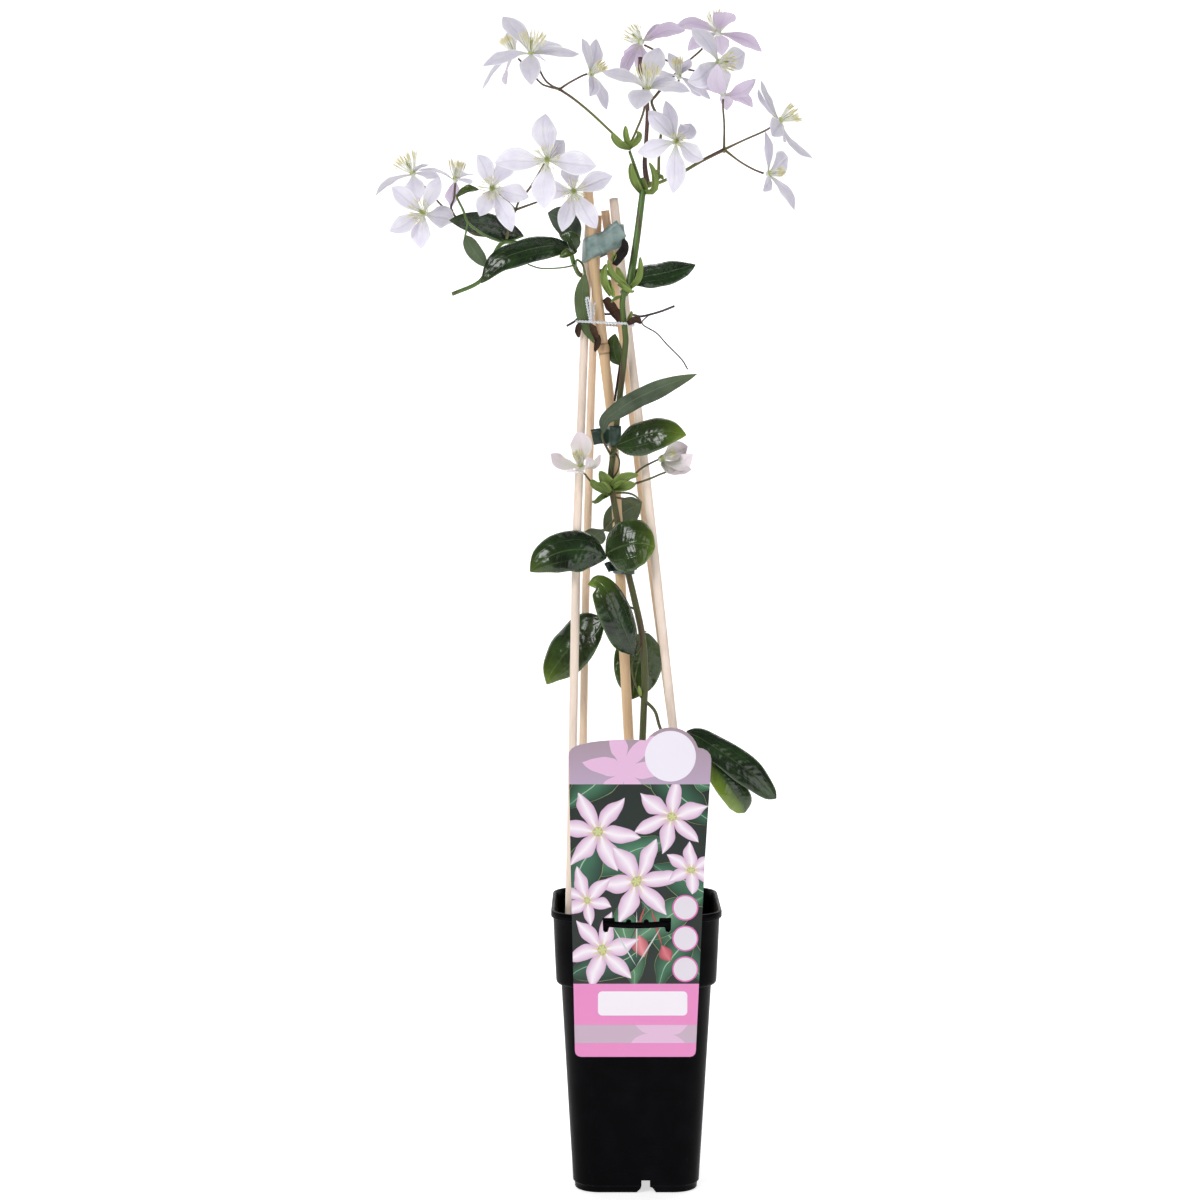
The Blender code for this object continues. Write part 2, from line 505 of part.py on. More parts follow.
def pot():
    """The square pot with its collar, lip, drain notches and the bar that holds the label."""
    rings = [rounded_square(half, z, STUD_CORNER) for z, half in FOOT_STUD]
    rings += [rounded_square(half, z, corner_at(half + 2.8) - 2.8) for z, half in FOOT_HOLLOW]
    rings += [rounded_square(half, z, corner_at(half)) for z, half in POT_OUTSIDE]
    rings += [rounded_square(half, z, corner_at(half + WALL) - WALL) for z, half in POT_INSIDE]
    shell = loft(rings, "shell")
    bar = loft(smile(SLOT_HALF - 1.0, SLOT_WIDE - 2 * GAP, CARD_FRONT - 0.2, -57.3), "bar")
    body = finish(fuse("pot", [shell, bar]), material("black_plastic", (0.012, 0.012, 0.016), 0.45),
                  sharp=30)
    for side in range(4):
        turn = Matrix.Rotation(side * math.pi / 2, 4, "Z")
        verts = [turn @ Vector((x + NOTCH_OFFSET, y, z)) for y in (-48, -37) for x, z in NOTCH]
        count = len(NOTCH)
        faces = [tuple(range(count)), tuple(range(2 * count - 1, count - 1, -1))]
        faces += [(k, k + count, (k + 1) % count + count, (k + 1) % count) for k in range(count)]
        notch = mesh_object(f"notch_{side}", verts, faces)
        turn_outwards(notch)
        cut(body, notch)


def soil():
    """The soil that fills the pot, with plain holes for the canes and the stem."""
    rings = [rounded_square(half, z, corner_at(half + WALL + 0.45) - WALL - 0.45) for z,
             half in SOIL_SHAPE]
    body = finish(loft(rings, "soil"), material("dark_soil", (0.045, 0.028, 0.018), 0.95), sharp=60)
    feet = [(radius, course) for radius, _, _, course in CANES.values()] + [(MAIN_STEM[0], MAIN_STEM[2])]
    for number, (radius, course) in enumerate(feet):
        foot, above = Vector(course[0]), Vector(course[1])
        along = (above - foot).normalized()
        drill = bmesh.new()
        bmesh.ops.create_cone(drill, cap_ends=True, segments=9, radius1=1, radius2=1, depth=2)
        wide = (radius + GAP + 0.15) * MM
        drill.transform(Matrix.Diagonal((wide, wide, 20 * MM, 1)))
        drill.transform(Matrix.Translation((foot + along * (20 - GAP)) * MM)
                        @ along.to_track_quat("Z", "Y").to_matrix().to_4x4())
        mesh = bpy.data.meshes.new("hole")
        drill.to_mesh(mesh)
        drill.free()
        hole = bpy.data.objects.new(f"hole_{number}", mesh)
        CUTTERS.objects.link(hole)
        cut(body, hole)


def arc(middle, radius, first, last, steps):
    """Points of an arc between two angles in degrees."""
    return [(middle[0] + radius * math.cos(math.radians(a)), middle[1] + radius * math.sin(math.radians(a)))
            for a in np.linspace(first, last, steps)]


def label():
    """The hanging card: a tapered outline with a round lobe and a curved slot."""
    outline = arc((-39.0, CARD_BOTTOM + 4), 4, 180, 270, 4) + arc((37.0, CARD_BOTTOM + 4), 4, 270, 360, 4)
    outline += CARD_RIGHT + arc(LOBE_MIDDLE, LOBE_RADIUS, 17, 147, 12) + CARD_LEFT
    curve = bpy.data.curves.new("label", "CURVE")
    curve.dimensions = "2D"
    curve.fill_mode = "BOTH"
    curve.extrude = CARD / 2 * MM
    def edge(x, side):
        return x, SLOT_LOW + SLOT_RISE * (x / SLOT_HALF) ** 2 + side * SLOT_WIDE / 2

    slot = [(-x, z) for x, z in reversed(LUG_BELOW)] + [edge(x, -1) for x in (-17, -12, -6, 0, 6, 12,
                                                                              17)] + LUG_BELOW
    slot += LUG_ABOVE + [edge(15.3, 1), edge(11, 1)]
    for nick in NICKS:
        slot += [(nick + x, edge(nick + x, 1)[1] + z) for x, z in NICK]
    slot += [edge(-11, 1), edge(-15.3, 1)] + [(-x, z) for x, z in reversed(LUG_ABOVE)]
    for ring in (outline, slot):
        spline = curve.splines.new("POLY")
        spline.points.add(len(ring) - 1)
        spline.use_cyclic_u = True
        for corner, (x, z) in zip(spline.points, ring):
            corner.co = (x * MM, z * MM, 0, 1)
    source = bpy.data.objects.new("flat", curve)
    PARTS.objects.link(source)
    mesh = evaluated_mesh(source)
    bpy.data.objects.remove(source)
    shape = bmesh.new()
    shape.from_mesh(mesh)
    bmesh.ops.remove_doubles(shape, verts=shape.verts, dist=0.00001)
    shape.transform(Matrix.Translation((0, (CARD_FRONT + CARD / 2) * MM,
                                        0)) @ Matrix.Rotation(math.pi / 2, 4, "X"))
    shape.to_mesh(mesh)
    shape.free()
    made = bpy.data.objects.new("label", mesh)
    PARTS.objects.link(made)
    finish(made, material("printed_card", (0.75, 0.45, 0.68), 0.4), smooth=False)


# ================================================================ canes and ties
def cane(name, radius, colour, joints, course):
    """A bamboo cane: a tube with a low ring at each joint."""
    points = smooth_course(course, 1)
    lengths = np.cumsum([0] + [np.linalg.norm(b - a) for a, b in zip(points, points[1:])])
    total = lengths[-1]
    stops = sorted([(s / total, 1.0) for s in lengths]
                   + [(j + d / total, r) for j in joints for d,
                      r in ((-2.2, 1.0), (0, 1.13), (2.2, 1.0))])
    places = [[np.interp(t * total, lengths, [p[k] for p in points]) for k in range(3)] for t, _ in stops]
    made = tube(places, [radius * r for _, r in stops], name, 2)
    finish(made, material(name.replace("cane", "bamboo"), colour, 0.5))


def cane_at(name, height):
    """Where a cane's middle is at one height, and its radius."""
    radius, _, _, course = CANES[name]
    z = [p[2] for p in course]
    return (np.interp(height, z, [p[0] for p in course]), np.interp(height, z, [p[1] for p in course]),
            radius)


def wrap(circles, gap, steps=14):
    """The outline of a band pulled round several circles, as (x, y) points."""
    ring = []
    for k in range(steps):
        turn = 2 * math.pi * k / steps
        ux, uy = math.cos(turn), math.sin(turn)
        x, y, r = max(circles, key=lambda c: c[0] * ux + c[1] * uy + c[2])
        ring.append((x + (r + gap) * ux, y + (r + gap) * uy))
    return ring


def circles_between(names, low, high, extra=()):
    """Circles of the named canes at both ends of a band, with any others that it holds."""
    return [cane_at(name, z) for name in names for z in (low, high)] + list(extra)


def band(name, circles, low, high, slope, colour, tail):
    """A flat tape round the circles: a closed strip that climbs to the right, and its loose end."""
    inner = wrap(circles, GAP + 0.1)
    outer = wrap(circles, GAP + 0.1 + TAPE)
    middle = sum(x for x, _ in inner) / len(inner)
    sections = []
    for (xi, yi), (xo, yo) in zip(inner, outer):
        lift = slope * (xi - middle)
        sections.append([(xi, yi, low + lift), (xo, yo, low + lift), (xo, yo, high + lift),
                         (xi, yi, high + lift)])
    count = len(sections)
    verts = [v for section in sections for v in section]
    faces = [(4 * i + k, 4 * i + (k + 1) % 4, 4 * ((i + 1) % count) + (k + 1) % 4,
              4 * ((i + 1) % count) + k)
             for i in range(count) for k in range(4)]
    strip = mesh_object("strip", verts, faces)
    turn_outwards(strip)
    start, stop, tall = tail
    end = loft([[(x, y - TAPE / 2, z - tall / 2), (x, y + TAPE / 2, z - tall / 2),
                 (x, y + TAPE / 2, z + tall / 2), (x, y - TAPE / 2, z + tall / 2)] for x, y,
                 z in (start, stop)],
               "tail")
    turn_outwards(end)
    finish(fuse(name, [strip, end]), material("garden_tape", colour, 0.45), smooth=False)


def turn_outwards(made):
    """Point every face of a closed mesh outwards."""
    shape = bmesh.new()
    shape.from_mesh(made.data)
    bmesh.ops.recalc_face_normals(shape, faces=shape.faces[:])
    shape.to_mesh(made.data)
    shape.free()


def ties():
    """Three tapes, the string and the thin wire."""
    every = list(CANES)
    green = (0.16, 0.24, 0.22)
    band("tape_top", circles_between(every, 650, 684), 659, 675, 0.42, green,
         ((-25, -15.4, 667), (-9.5, -17.5, 677), 13))
    stem_mid, stem_low = (-15.5, -20.5, 2.5), (-7.0, -22.2, 2.9)
    band("tape_middle", circles_between(["cane_middle"], 524, 540, [stem_mid, (-14.5, -20.7, 2.5)]), 525,
         539, 0.0,
         (0.03, 0.06, 0.05), ((-20.4, -13, 532), (-31, -15, 531), 11))
    band("tape_low", circles_between(["cane_middle"], 434, 446, [stem_low, (-5.5, -22.3, 2.9)]), 435,
         444, 0.0,
         (0.02, 0.05, 0.04), ((-16.2, -10.5, 440), (-21, -13, 439), 7))
    ring = [(x, y, STRING_HEIGHT - 0.06 * (x + 20)) for x, y in
            wrap(circles_between(every, STRING_HEIGHT - 2, STRING_HEIGHT + 2, STRING_HOLDS),
                 GAP + STRING_RADIUS + 0.15, 14)]
    string_loop(ring)
    wire()


def string_loop(ring):
    """The white string: a closed ring round the canes with two short ends at the knot."""
    count = len(ring)
    middle = np.mean(np.array(ring), axis=0)
    verts = []
    for place in ring:
        out = np.array(place) - middle
        out[2] = 0
        out = out / np.linalg.norm(out)
        for k in range(5):
            turn = math.pi * 0.4 * k
            verts.append(np.array(place) + STRING_RADIUS * (out * math.cos(turn)
                                                            + np.array((0, 0, 1)) * math.sin(turn)))
    faces = [(5 * i + k, 5 * i + (k + 1) % 5, 5 * ((i + 1) % count) + (k + 1) % 5,
              5 * ((i + 1) % count) + k)
             for i in range(count) for k in range(5)]
    loop = mesh_object("loop", verts, faces)
    turn_outwards(loop)
    knot = min(ring, key=lambda p: p[1] + abs(p[0] + 30))
    x, y, z = knot
    ends = [tube([(x, y, z), (x - 2.2, y - 1, z + 7), (x - 1, y - 2, z + 14)], [0.7, 0.6, 0.6]),
            tube([(x, y, z), (x + 2.5, y - 1, z + 5), (x + 2, y - 2, z + 11)], [0.7, 0.6, 0.6])]
    finish(fuse("string", [loop] + ends), material("white_string", (0.8, 0.8, 0.8), 0.8))


def wire():
    """The thin coated wire: behind the canes, with both ends standing out in front."""
    path = [(-49, -13, 609.2), (-43.5, -11.5, 612.5), (-40, -6, 616), (-36, 6, 619), (-28, 14, 619),
            (-12, 14, 619), (-2, 6, 618), (3, -3, 616.5), (9, -5, 617.5), (18, -7, 620), (27, -8, 623.5)]
    points = smooth_course(path, 2)
    loop = tube(points, [WIRE_RADIUS] * len(points), "loop")
    drop = [(9, -5, 617.5), (4, -12, 611), (14, -18, 604), (21, -24, 596), (31, -36, 585), (35, -42, 578)]
    fall = tube(drop, [0.6] * len(drop), "fall")
    finish(fuse("tie_wire", [loop, fall]), material("dark_wire", (0.03, 0.02, 0.02), 0.5))


# ================================================================ the plant
LEAF = [(0, .2), (.13, .72), (.4, 1), (.75, .86), (1, .15)]
SMALL_LEAF = [(0, .2), (.35, .95), (.75, .7), (1, .15)]
BRACT = [(0, .35), (.5, 1), (1, .25)]
PETAL = [(0, .13), (.34, .64), (.7, 1), (1, .36)]


def leafy(name, stems, leaves, bracts, colour):
    """A leafy stem fused from its stem, petioles, bracts and leaves."""
    pieces = [stem(*stems[0], 1, 1)] + [stem(*row) for row in stems[1:]]
    for base, middle, tip, width, facing in leaves:
        profile = LEAF if width > 12 else SMALL_LEAF
        pieces.append(blade(base, middle, tip, facing, width, profile, 0.8, 0.16))
    for base, tip, width in bracts:
        start, end = Vector(base), Vector(tip)
        middle = (start + end) / 2 + Vector((0, -1.5, -1))
        pieces.append(blade(start, middle, end, (0.1, -0.8, 0.5), width, BRACT, 0.9, 0, (-1, 1)))
    finish(fuse(name, pieces), material(name + "_green", colour, 0.35), sharp=60)


def stalks():
    """The dark branching flower stalks, one body for each spray."""
    for name, rows in STALKS.items():
        pieces = [stem(*row) for row in rows]
        finish(fuse(name, pieces), material("flower_stalk", (0.07, 0.04, 0.03), 0.5))


def button(middle, facing, radius, height, start, name):
    """A small five-sided dome or hub along an axis."""
    axis = Vector(facing).normalized()
    shape = bmesh.new()
    bmesh.ops.create_cone(shape, cap_ends=True, segments=5, radius1=radius * MM,
                          radius2=radius * 0.75 * MM,
                          depth=height * MM)
    place = (Vector(middle) + axis * (start + height / 2)) * MM
    shape.transform(Matrix.Translation(place) @ axis.to_track_quat("Z", "Y").to_matrix().to_4x4())
    mesh = bpy.data.meshes.new(name)
    shape.to_mesh(mesh)
    shape.free()
    made = bpy.data.objects.new(name, mesh)
    PARTS.objects.link(made)
    return made


def needle(start, end, thin, thick):
    """A three-sided needle with a thicker end, for a stamen."""
    start, end = Vector(start), Vector(end)
    shape = bmesh.new()
    length = (end - start).length
    bmesh.ops.create_cone(shape, cap_ends=True, segments=3, radius1=thin * MM, radius2=thick * MM,
                          depth=length * MM)
    shape.transform(Matrix.Translation((start + end) / 2 * MM)
                    @ (end - start).to_track_quat("Z", "Y").to_matrix().to_4x4())
    mesh = bpy.data.meshes.new("needle")
    shape.to_mesh(mesh)
    shape.free()
    made = bpy.data.objects.new("needle", mesh)
    PARTS.objects.link(made)
    return made


def bloom(number, middle, facing, reach, spread, petals):
    """One bloom: its petals on a hub, and its stamens on a dome a little above them."""
    centre, axis = Vector(middle), Vector(facing).normalized()
    pieces = [button(middle, facing, 2.9, 2.0, -1.0, "hub")]
    for dx, dy, dz, width, arch in petals:
        away = Vector((dx, dy, dz))
        lift = (axis - away.normalized() * axis.dot(away.normalized())).normalized()
        flat = (away - axis * axis.dot(away)).normalized()
        base = centre + flat * 1.8
        half_way = centre + away * 0.5 + lift * away.length * arch
        pieces.append(blade(base, half_way, centre + away, axis, width, PETAL, 0.7, 0.1))
    white = material("petal_white", (0.78, 0.74, 0.86), 0.5)
    finish(fuse(f"petals_{number:02d}", pieces), white, sharp=60)

    side = axis.orthogonal().normalized()
    other = axis.cross(side)
    root = centre + axis * 2.9
    pieces = [button(middle, facing, 1.8, 2.2, 2.1, "dome")]
    count = 7
    for k in range(count):
        turn = 2 * math.pi * (k + 0.5 * (number % 2)) / count
        tilt = math.radians(spread * (0.55 if k % 3 == 0 else 1.0))
        out = side * math.cos(turn) + other * math.sin(turn)
        ahead = axis * math.cos(tilt) + out * math.sin(tilt)
        pieces.append(needle(root + out * 0.6, root + ahead * reach, 0.5, 0.75))
    finish(fuse(f"stamens_{number:02d}", pieces), material("stamen_cream", (0.72, 0.7, 0.38), 0.6),
           sharp=60)


# ================================================================ build
clear_scene()
PARTS = new_collection("clematis_on_canes")
CUTTERS = new_collection("cutters")
pot()
soil()
label()
for cane_name, (cane_radius, cane_colour, cane_joints, cane_course) in CANES.items():
    cane(cane_name, cane_radius, cane_colour, cane_joints, cane_course)
ties()
leafy("main_vine", [MAIN_STEM] + GREEN_STEMS, MAIN_LEAVES, MAIN_BRACTS, (0.03, 0.1, 0.02))
leafy("side_shoot", SIDE_STEMS, SIDE_LEAVES, [], (0.03, 0.09, 0.02))
stalks()
for index, (bloom_middle, bloom_facing, bloom_reach, bloom_spread, bloom_petals) in enumerate(BLOOMS, 1):
    bloom(index, bloom_middle, bloom_facing, bloom_reach, bloom_spread, bloom_petals)
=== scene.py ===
# %% [markdown]
# # A clematis tied to bamboo canes
# A young evergreen clematis grows in a tall square nursery pot. Five canes lean together above it,
# held by tapes, a string and a wire. White-lilac blooms hang on thin dark stalks at the top, and a
# printed card hangs on the front of the pot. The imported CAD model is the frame: each piece made
# here stands where its solid stands, and takes its place.

# %% Load the frame
import math

import bpy
import numpy as np
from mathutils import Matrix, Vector


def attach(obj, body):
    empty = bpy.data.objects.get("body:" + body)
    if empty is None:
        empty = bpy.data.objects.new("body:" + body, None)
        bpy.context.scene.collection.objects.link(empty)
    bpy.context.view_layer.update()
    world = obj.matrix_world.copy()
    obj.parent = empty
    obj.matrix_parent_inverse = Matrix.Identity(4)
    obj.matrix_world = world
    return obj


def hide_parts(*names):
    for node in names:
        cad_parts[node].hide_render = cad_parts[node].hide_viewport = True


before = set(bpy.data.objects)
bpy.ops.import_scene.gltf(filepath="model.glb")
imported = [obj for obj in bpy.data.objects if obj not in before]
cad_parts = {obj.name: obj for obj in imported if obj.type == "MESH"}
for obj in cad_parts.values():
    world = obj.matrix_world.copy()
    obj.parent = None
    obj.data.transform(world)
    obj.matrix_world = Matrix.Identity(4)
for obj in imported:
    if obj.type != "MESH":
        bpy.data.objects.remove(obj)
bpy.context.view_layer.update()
MM = 0.001

# %% [markdown]
# ## The camera
# A long lens, 1.8 m away and a little above the middle of the plant, looks slightly down. The
# camera comes first, because every later choice is judged through it.

# %% Camera
SENSOR_WIDTH, FOCAL_LENGTH = 36.0, 75.9354
CAMERA_AT, TILT_DOWN = (-0.0256, -1.8, 0.5169), 0.056232


def put(name, data):
    """A new object in the scene for a camera, a lamp or a mesh."""
    made = bpy.data.objects.new(name, data)
    bpy.context.scene.collection.objects.link(made)
    return made


lens = bpy.data.cameras.new("camera")
lens.sensor_width, lens.lens = SENSOR_WIDTH, FOCAL_LENGTH
camera = put("camera", lens)
camera.location = CAMERA_AT
camera.rotation_euler = (math.radians(90) - TILT_DOWN, 0, 0)
bpy.context.scene.camera = camera
print("lens in mm:", round(lens.lens, 1))

# %% [markdown]
# ## Surfaces from arrays
# Each piece is a grid of points worked out by numpy, with quads between them. Curve objects and
# modifiers could make tubes and blades too, but here every course is known in figures, and arrays let
# the radius, the edge and the values for the looks change along it. The helpers give rings, grid faces,
# smooth paths read at even steps, and a skin through rings.

# %% Helpers for surfaces
def ring_angles(count):
    """Angles spread evenly round a full turn."""
    return np.linspace(0, 2 * math.pi, count, endpoint=False)


def grid_faces(rows, columns, closed=False):
    """Quads (i, j), (i, j+1), (i+1, j+1), (i+1, j); closed joins the last column to the first."""
    i, j = np.meshgrid(np.arange(rows - 1), np.arange(columns if closed else columns - 1), indexing="ij")
    here, below, k = i * columns, (i + 1) * columns, (j + 1) % columns
    return np.stack([here + j, here + k, below + k, below + j], -1).reshape(-1, 4)


def smooth_path(points, count):
    """Catmull-Rom curve: a cubic leaves each point along the line between its neighbours."""
    p = np.array(points, float)
    p = np.vstack([2 * p[0] - p[1], p, 2 * p[-1] - p[-2]])
    t = np.linspace(0, len(points) - 1, count)
    i = np.minimum(t.astype(int), len(points) - 2)
    u = (t - i)[:, None]
    a, b, c, d = p[i], p[i + 1], p[i + 2], p[i + 3]
    bend, twist = 2 * a - 5 * b + 4 * c - d, 3 * b - a - 3 * c + d
    return 0.5 * (2 * b + (c - a) * u + bend * u ** 2 + twist * u ** 3)


def lengths(path):
    """How far along a path each of its points lies."""
    return np.concatenate([[0], np.cumsum(np.linalg.norm(np.diff(path, axis=0), axis=1))])


def along_path(path, shares):
    """Points of a path at the given shares (0 to 1) of its length."""
    far = lengths(path)
    return np.stack([np.interp(np.array(shares) * far[-1], far, path[:, k]) for k in range(3)], -1)


def even_path(points, shares):
    """A smooth path read at the given shares (0 to 1) of its own length."""
    return along_path(smooth_path(points, 14 * len(points)), shares)


def unit(v):
    """Vectors divided by their lengths."""
    return v / np.linalg.norm(v, axis=-1, keepdims=True)


def across_path(path):
    """Two directions square to a path: N = T x W for a fixed W far from the path, and B = T x N."""
    ahead = unit(np.gradient(path, axis=0))
    lean = np.abs(unit(path[-1] - path[0]))
    fixed = np.eye(3)[np.argmin(lean)]
    side = unit(np.cross(ahead, fixed))
    return side, np.cross(ahead, side)


def rings_round(path, radii, sides, side, other):
    """Circles round the points of a path: c + r (N cos a + B sin a)."""
    turn = ring_angles(sides)[:, None]
    around = side[:, None] * np.cos(turn) + other[:, None] * np.sin(turn)
    return path[:, None] + np.reshape(radii, (-1, 1, 1)) * around


def skin(rings, spot=None, tone=0.0):
    """Surface through closed rings, shut at both ends by a fan, with four values a point for its looks.

    Unless spot gives them, they are how far along and how far round it is, 0, and the tone.
    """
    rows, around = rings.shape[:2]
    verts = np.vstack([rings.reshape(-1, 3), rings[0].mean(0), rings[-1].mean(0)])
    j = np.arange(around)
    k = (j + 1) % around
    first, last = np.full(around, rows * around), np.full(around, rows * around + 1)
    top = (rows - 1) * around
    caps = np.vstack([np.stack([k, j, first], -1), np.stack([top + j, top + k, last], -1)])
    if spot is None:
        spot = np.zeros((rows, around, 4))
        spot[..., 0] = np.linspace(0, 1, rows)[:, None]
        spot[..., 1] = np.linspace(0, 1, around)
        spot[..., 3] = tone
    spots = np.vstack([spot.reshape(-1, 4), spot[0].mean(0), spot[-1].mean(0)])
    return verts, grid_faces(rows, around, True), caps, spots


def tube(points, radii, sides=8, count=None, tone=0.0):
    """Circles along a smooth path, with their radius read between the given radii."""
    count = count or 5 * len(points)
    path = smooth_path(points, count)
    r = np.interp(np.linspace(0, 1, count), np.linspace(0, 1, len(radii)), radii)
    return skin(rings_round(path, r, sides, *across_path(path)), tone=tone)


def make_object(name, parts, look, nodes):
    """Join surface parts (in millimetres) into one mesh (in metres) that replaces some CAD nodes."""
    start, verts, faces, spots = 0, [], [], []
    for v, quads, caps, spot in parts:
        verts.append(v)
        faces += (quads + start).tolist() + (caps + start).tolist()
        spots.append(spot)
        start += len(v)
    mesh = bpy.data.meshes.new(name)
    mesh.from_pydata(np.vstack(verts) * MM, [], faces)
    place = mesh.attributes.new("spot", "FLOAT_COLOR", "POINT")
    place.data.foreach_set("color", np.vstack(spots).astype(np.float32).ravel())
    mesh.materials.append(look)
    mesh.polygons.foreach_set("use_smooth", np.full(len(mesh.polygons), True))
    mesh.update()
    made = put(name, mesh)
    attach(made, "root")
    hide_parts(*nodes)
    print(name, "faces:", len(mesh.polygons))
    return made


# %% [markdown]
# ## Finishes from nodes
# A finish is a small net of shader nodes, which stays sharp from close up, where a painted texture
# would not. Patterns read Object coordinates, in metres, so the clouds of a noise with scale 60 are
# about 1 / 60 m wide. The comment beside each pattern gives that size in millimetres. Where the real
# grain is too fine to show from the camera, it is drawn as coarse as it needs to be to show.

# %% Helpers for materials
def srgb(code):
    """An sRGB hex colour as linear RGBA: up to 0.04045 c / 12.92, above ((c + 0.055) / 1.055) ** 2.4."""
    c = np.array([int(code[i:i + 2], 16) for i in (1, 3, 5)]) / 255
    return (*np.where(c <= 0.04045, c / 12.92, ((c + 0.055) / 1.055) ** 2.4), 1.0)


def fill(node, inputs):
    """Fill a node's inputs, by name or number, with values, hex colours, sockets or nodes' results."""
    for key, value in inputs.items():
        if isinstance(value, bpy.types.Node):
            value = value.outputs[2 if value.bl_idname == "ShaderNodeMix" else 0]
        if isinstance(value, bpy.types.NodeSocket):
            node.id_data.links.new(value, node.inputs[key])
        else:
            node.inputs[key].default_value = srgb(value) if isinstance(value, str) else value
    return node


def add(tree, kind, inputs=None, **settings):
    """Add a shader node with its settings and inputs. A Mix mixes two colours, its inputs 6 and 7."""
    made = tree.nodes.new("ShaderNode" + kind)
    if kind == "Mix":
        made.data_type = "RGBA"
    for key, value in settings.items():
        setattr(made, key, value)
    return fill(made, inputs or {})


def spot_values(tree):
    """The four values that each point of a surface carries, as sockets."""
    spot = add(tree, "Attribute", attribute_name="spot")
    return *add(tree, "SeparateColor", {"Color": spot}).outputs, spot.outputs["Alpha"]


def new_material(name):
    """An empty node material, its tree and its Principled shader."""
    made = bpy.data.materials.new(name)
    made.use_nodes = True
    print("finish:", name)
    return made, made.node_tree, made.node_tree.nodes["Principled BSDF"]


# %% [markdown]
# ## The studio
# Plants stand on a sweep: matt white paper that runs from the floor up the wall in one curve, so no
# horizon shows. Its profile is a line, a quarter circle and a line, carried sideways. The paper also
# glows, which keeps the ground white while three large lamps stay soft.

# %% Sweep, lights and world
def sweep_profile(count=40):
    """(y, z) down the wall, round a quarter circle of 0.7 m and along the floor, in metres."""
    turn = np.linspace(0, math.pi / 2, count)
    arc = np.stack([1.3 + 0.7 * np.sin(turn), 0.7 - 0.7 * np.cos(turn)], -1)
    return np.vstack([[-3.0, 0.0], [-1.0, 0.0], arc, [2.0, 4.0]])


profile = sweep_profile()
wide = np.array([-4.0, 4.0])
sheet = np.stack([np.repeat(wide[None], len(profile), 0), np.repeat(profile[:, :1], 2, 1),
                  np.repeat(profile[:, 1:], 2, 1)], -1)
floor_mesh = bpy.data.meshes.new("floor")
floor_mesh.from_pydata(sheet.reshape(-1, 3) - [0, 0, 0.0004], [], grid_faces(len(profile), 2).tolist())
floor_mesh.polygons.foreach_set("use_smooth", np.full(len(floor_mesh.polygons), True))
paper, tree, shader = new_material("white_paper")
fill(shader, {"Base Color": "#F8F8F8", "Roughness": 0.9, "Emission Color": "#FFFFFF",
              "Emission Strength": 0.62})
floor_mesh.materials.append(paper)
floor = put("floor", floor_mesh)


def soft_light(name, place, target, size, power):
    """A square area light that looks at a target."""
    data = bpy.data.lights.new(name, "AREA")
    data.size, data.energy = size, power
    lamp = put(name, data)
    lamp.location = place
    lamp.rotation_euler = (Vector(target) - Vector(place)).to_track_quat("-Z", "Y").to_euler()


soft_light("key", (-1.1, -1.7, 1.7), (0, 0, 0.5), 0.9, 23)
soft_light("fill", (1.5, -1.5, 0.9), (0, 0, 0.5), 1.2, 8)
soft_light("back", (0.4, 1.0, 1.9), (0, 0, 0.6), 1.0, 8)
world = bpy.data.worlds.new("studio")
world.use_nodes = True
fill(world.node_tree.nodes["Background"], {"Color": "#FFFFFF", "Strength": 0.14})
bpy.context.scene.world = world
bpy.context.scene.view_settings.view_transform = "Standard"
print("studio ready")

# %% [markdown]
# ## The pot
# Nursery pots are injection moulded in black polypropylene: thin walls, generous corner radii, a
# collar that stiffens the rim and a rolled lip. The wall is one profile, up the outside and down
# the inside, carried round a rounded square whose corners shrink with it.

# %% Pot surface
def rounded_square(half, height, corner, steps=14):
    """Corner centres at (half - corner), each with a quarter circle of the corner radius, at one height."""
    turn = np.linspace(0, math.pi / 2, steps)
    start = np.arange(4)[:, None] * math.pi / 2
    sx, sy = np.array([1, -1, -1, 1])[:, None], np.array([1, 1, -1, -1])[:, None]
    x = sx * (half - corner) + corner * np.cos(start + turn)
    y = sy * (half - corner) + corner * np.sin(start + turn)
    return np.stack([x.ravel(), y.ravel(), np.full(x.size, float(height))], -1)


FOOT_STUD, STUD_CORNER = [(0, 3.3), (9.5, 3.6)], 1.2
FOOT_HOLLOW = [(9.5, 38.0), (9.4, 39.6), (8.6, 40.0), (0.6, 40.5), (0, 40.9)]
POT_OUTSIDE = [(0, 42.9), (0.5, 43.3), (3.8, 43.5), (4.6, 43.9), (5.4, 44.7), (60, 47.9), (146, 52.8),
               (147, 53.2), (147.8, 55.4), (148.8, 56.2), (150.5, 56.5), (172, 57.5), (193.5, 58.4),
               (194.6, 58.8), (195.2, 59.8), (196, 60.0), (199, 60.0), (199.8, 59.6), (200, 58.9)]
POT_INSIDE = [(199.8, 58.0), (199.2, 57.6), (194, 56.4), (151, 54.3), (149.8, 53.4), (149.4, 51.2),
              (148, 50.8), (60, 45.8), (13, 42.8), (11.9, 42.0), (11.5, 39.0)]
CORNER, WALL, FOOT_WALL, LEAST_CORNER = 24 / 60, 2.0, 2.8, 6.0
outer = [rounded_square(h, z, CORNER * h) for z, h in POT_OUTSIDE]
inner = [rounded_square(h, z, max(CORNER * (h + WALL) - WALL, LEAST_CORNER)) for z, h in POT_INSIDE]
hollow = [rounded_square(h, z, CORNER * (h + FOOT_WALL) - FOOT_WALL) for z, h in FOOT_HOLLOW]
stud = [rounded_square(h, z, STUD_CORNER) for z, h in FOOT_STUD]
pot_rings = np.array(stud + hollow + outer + inner)

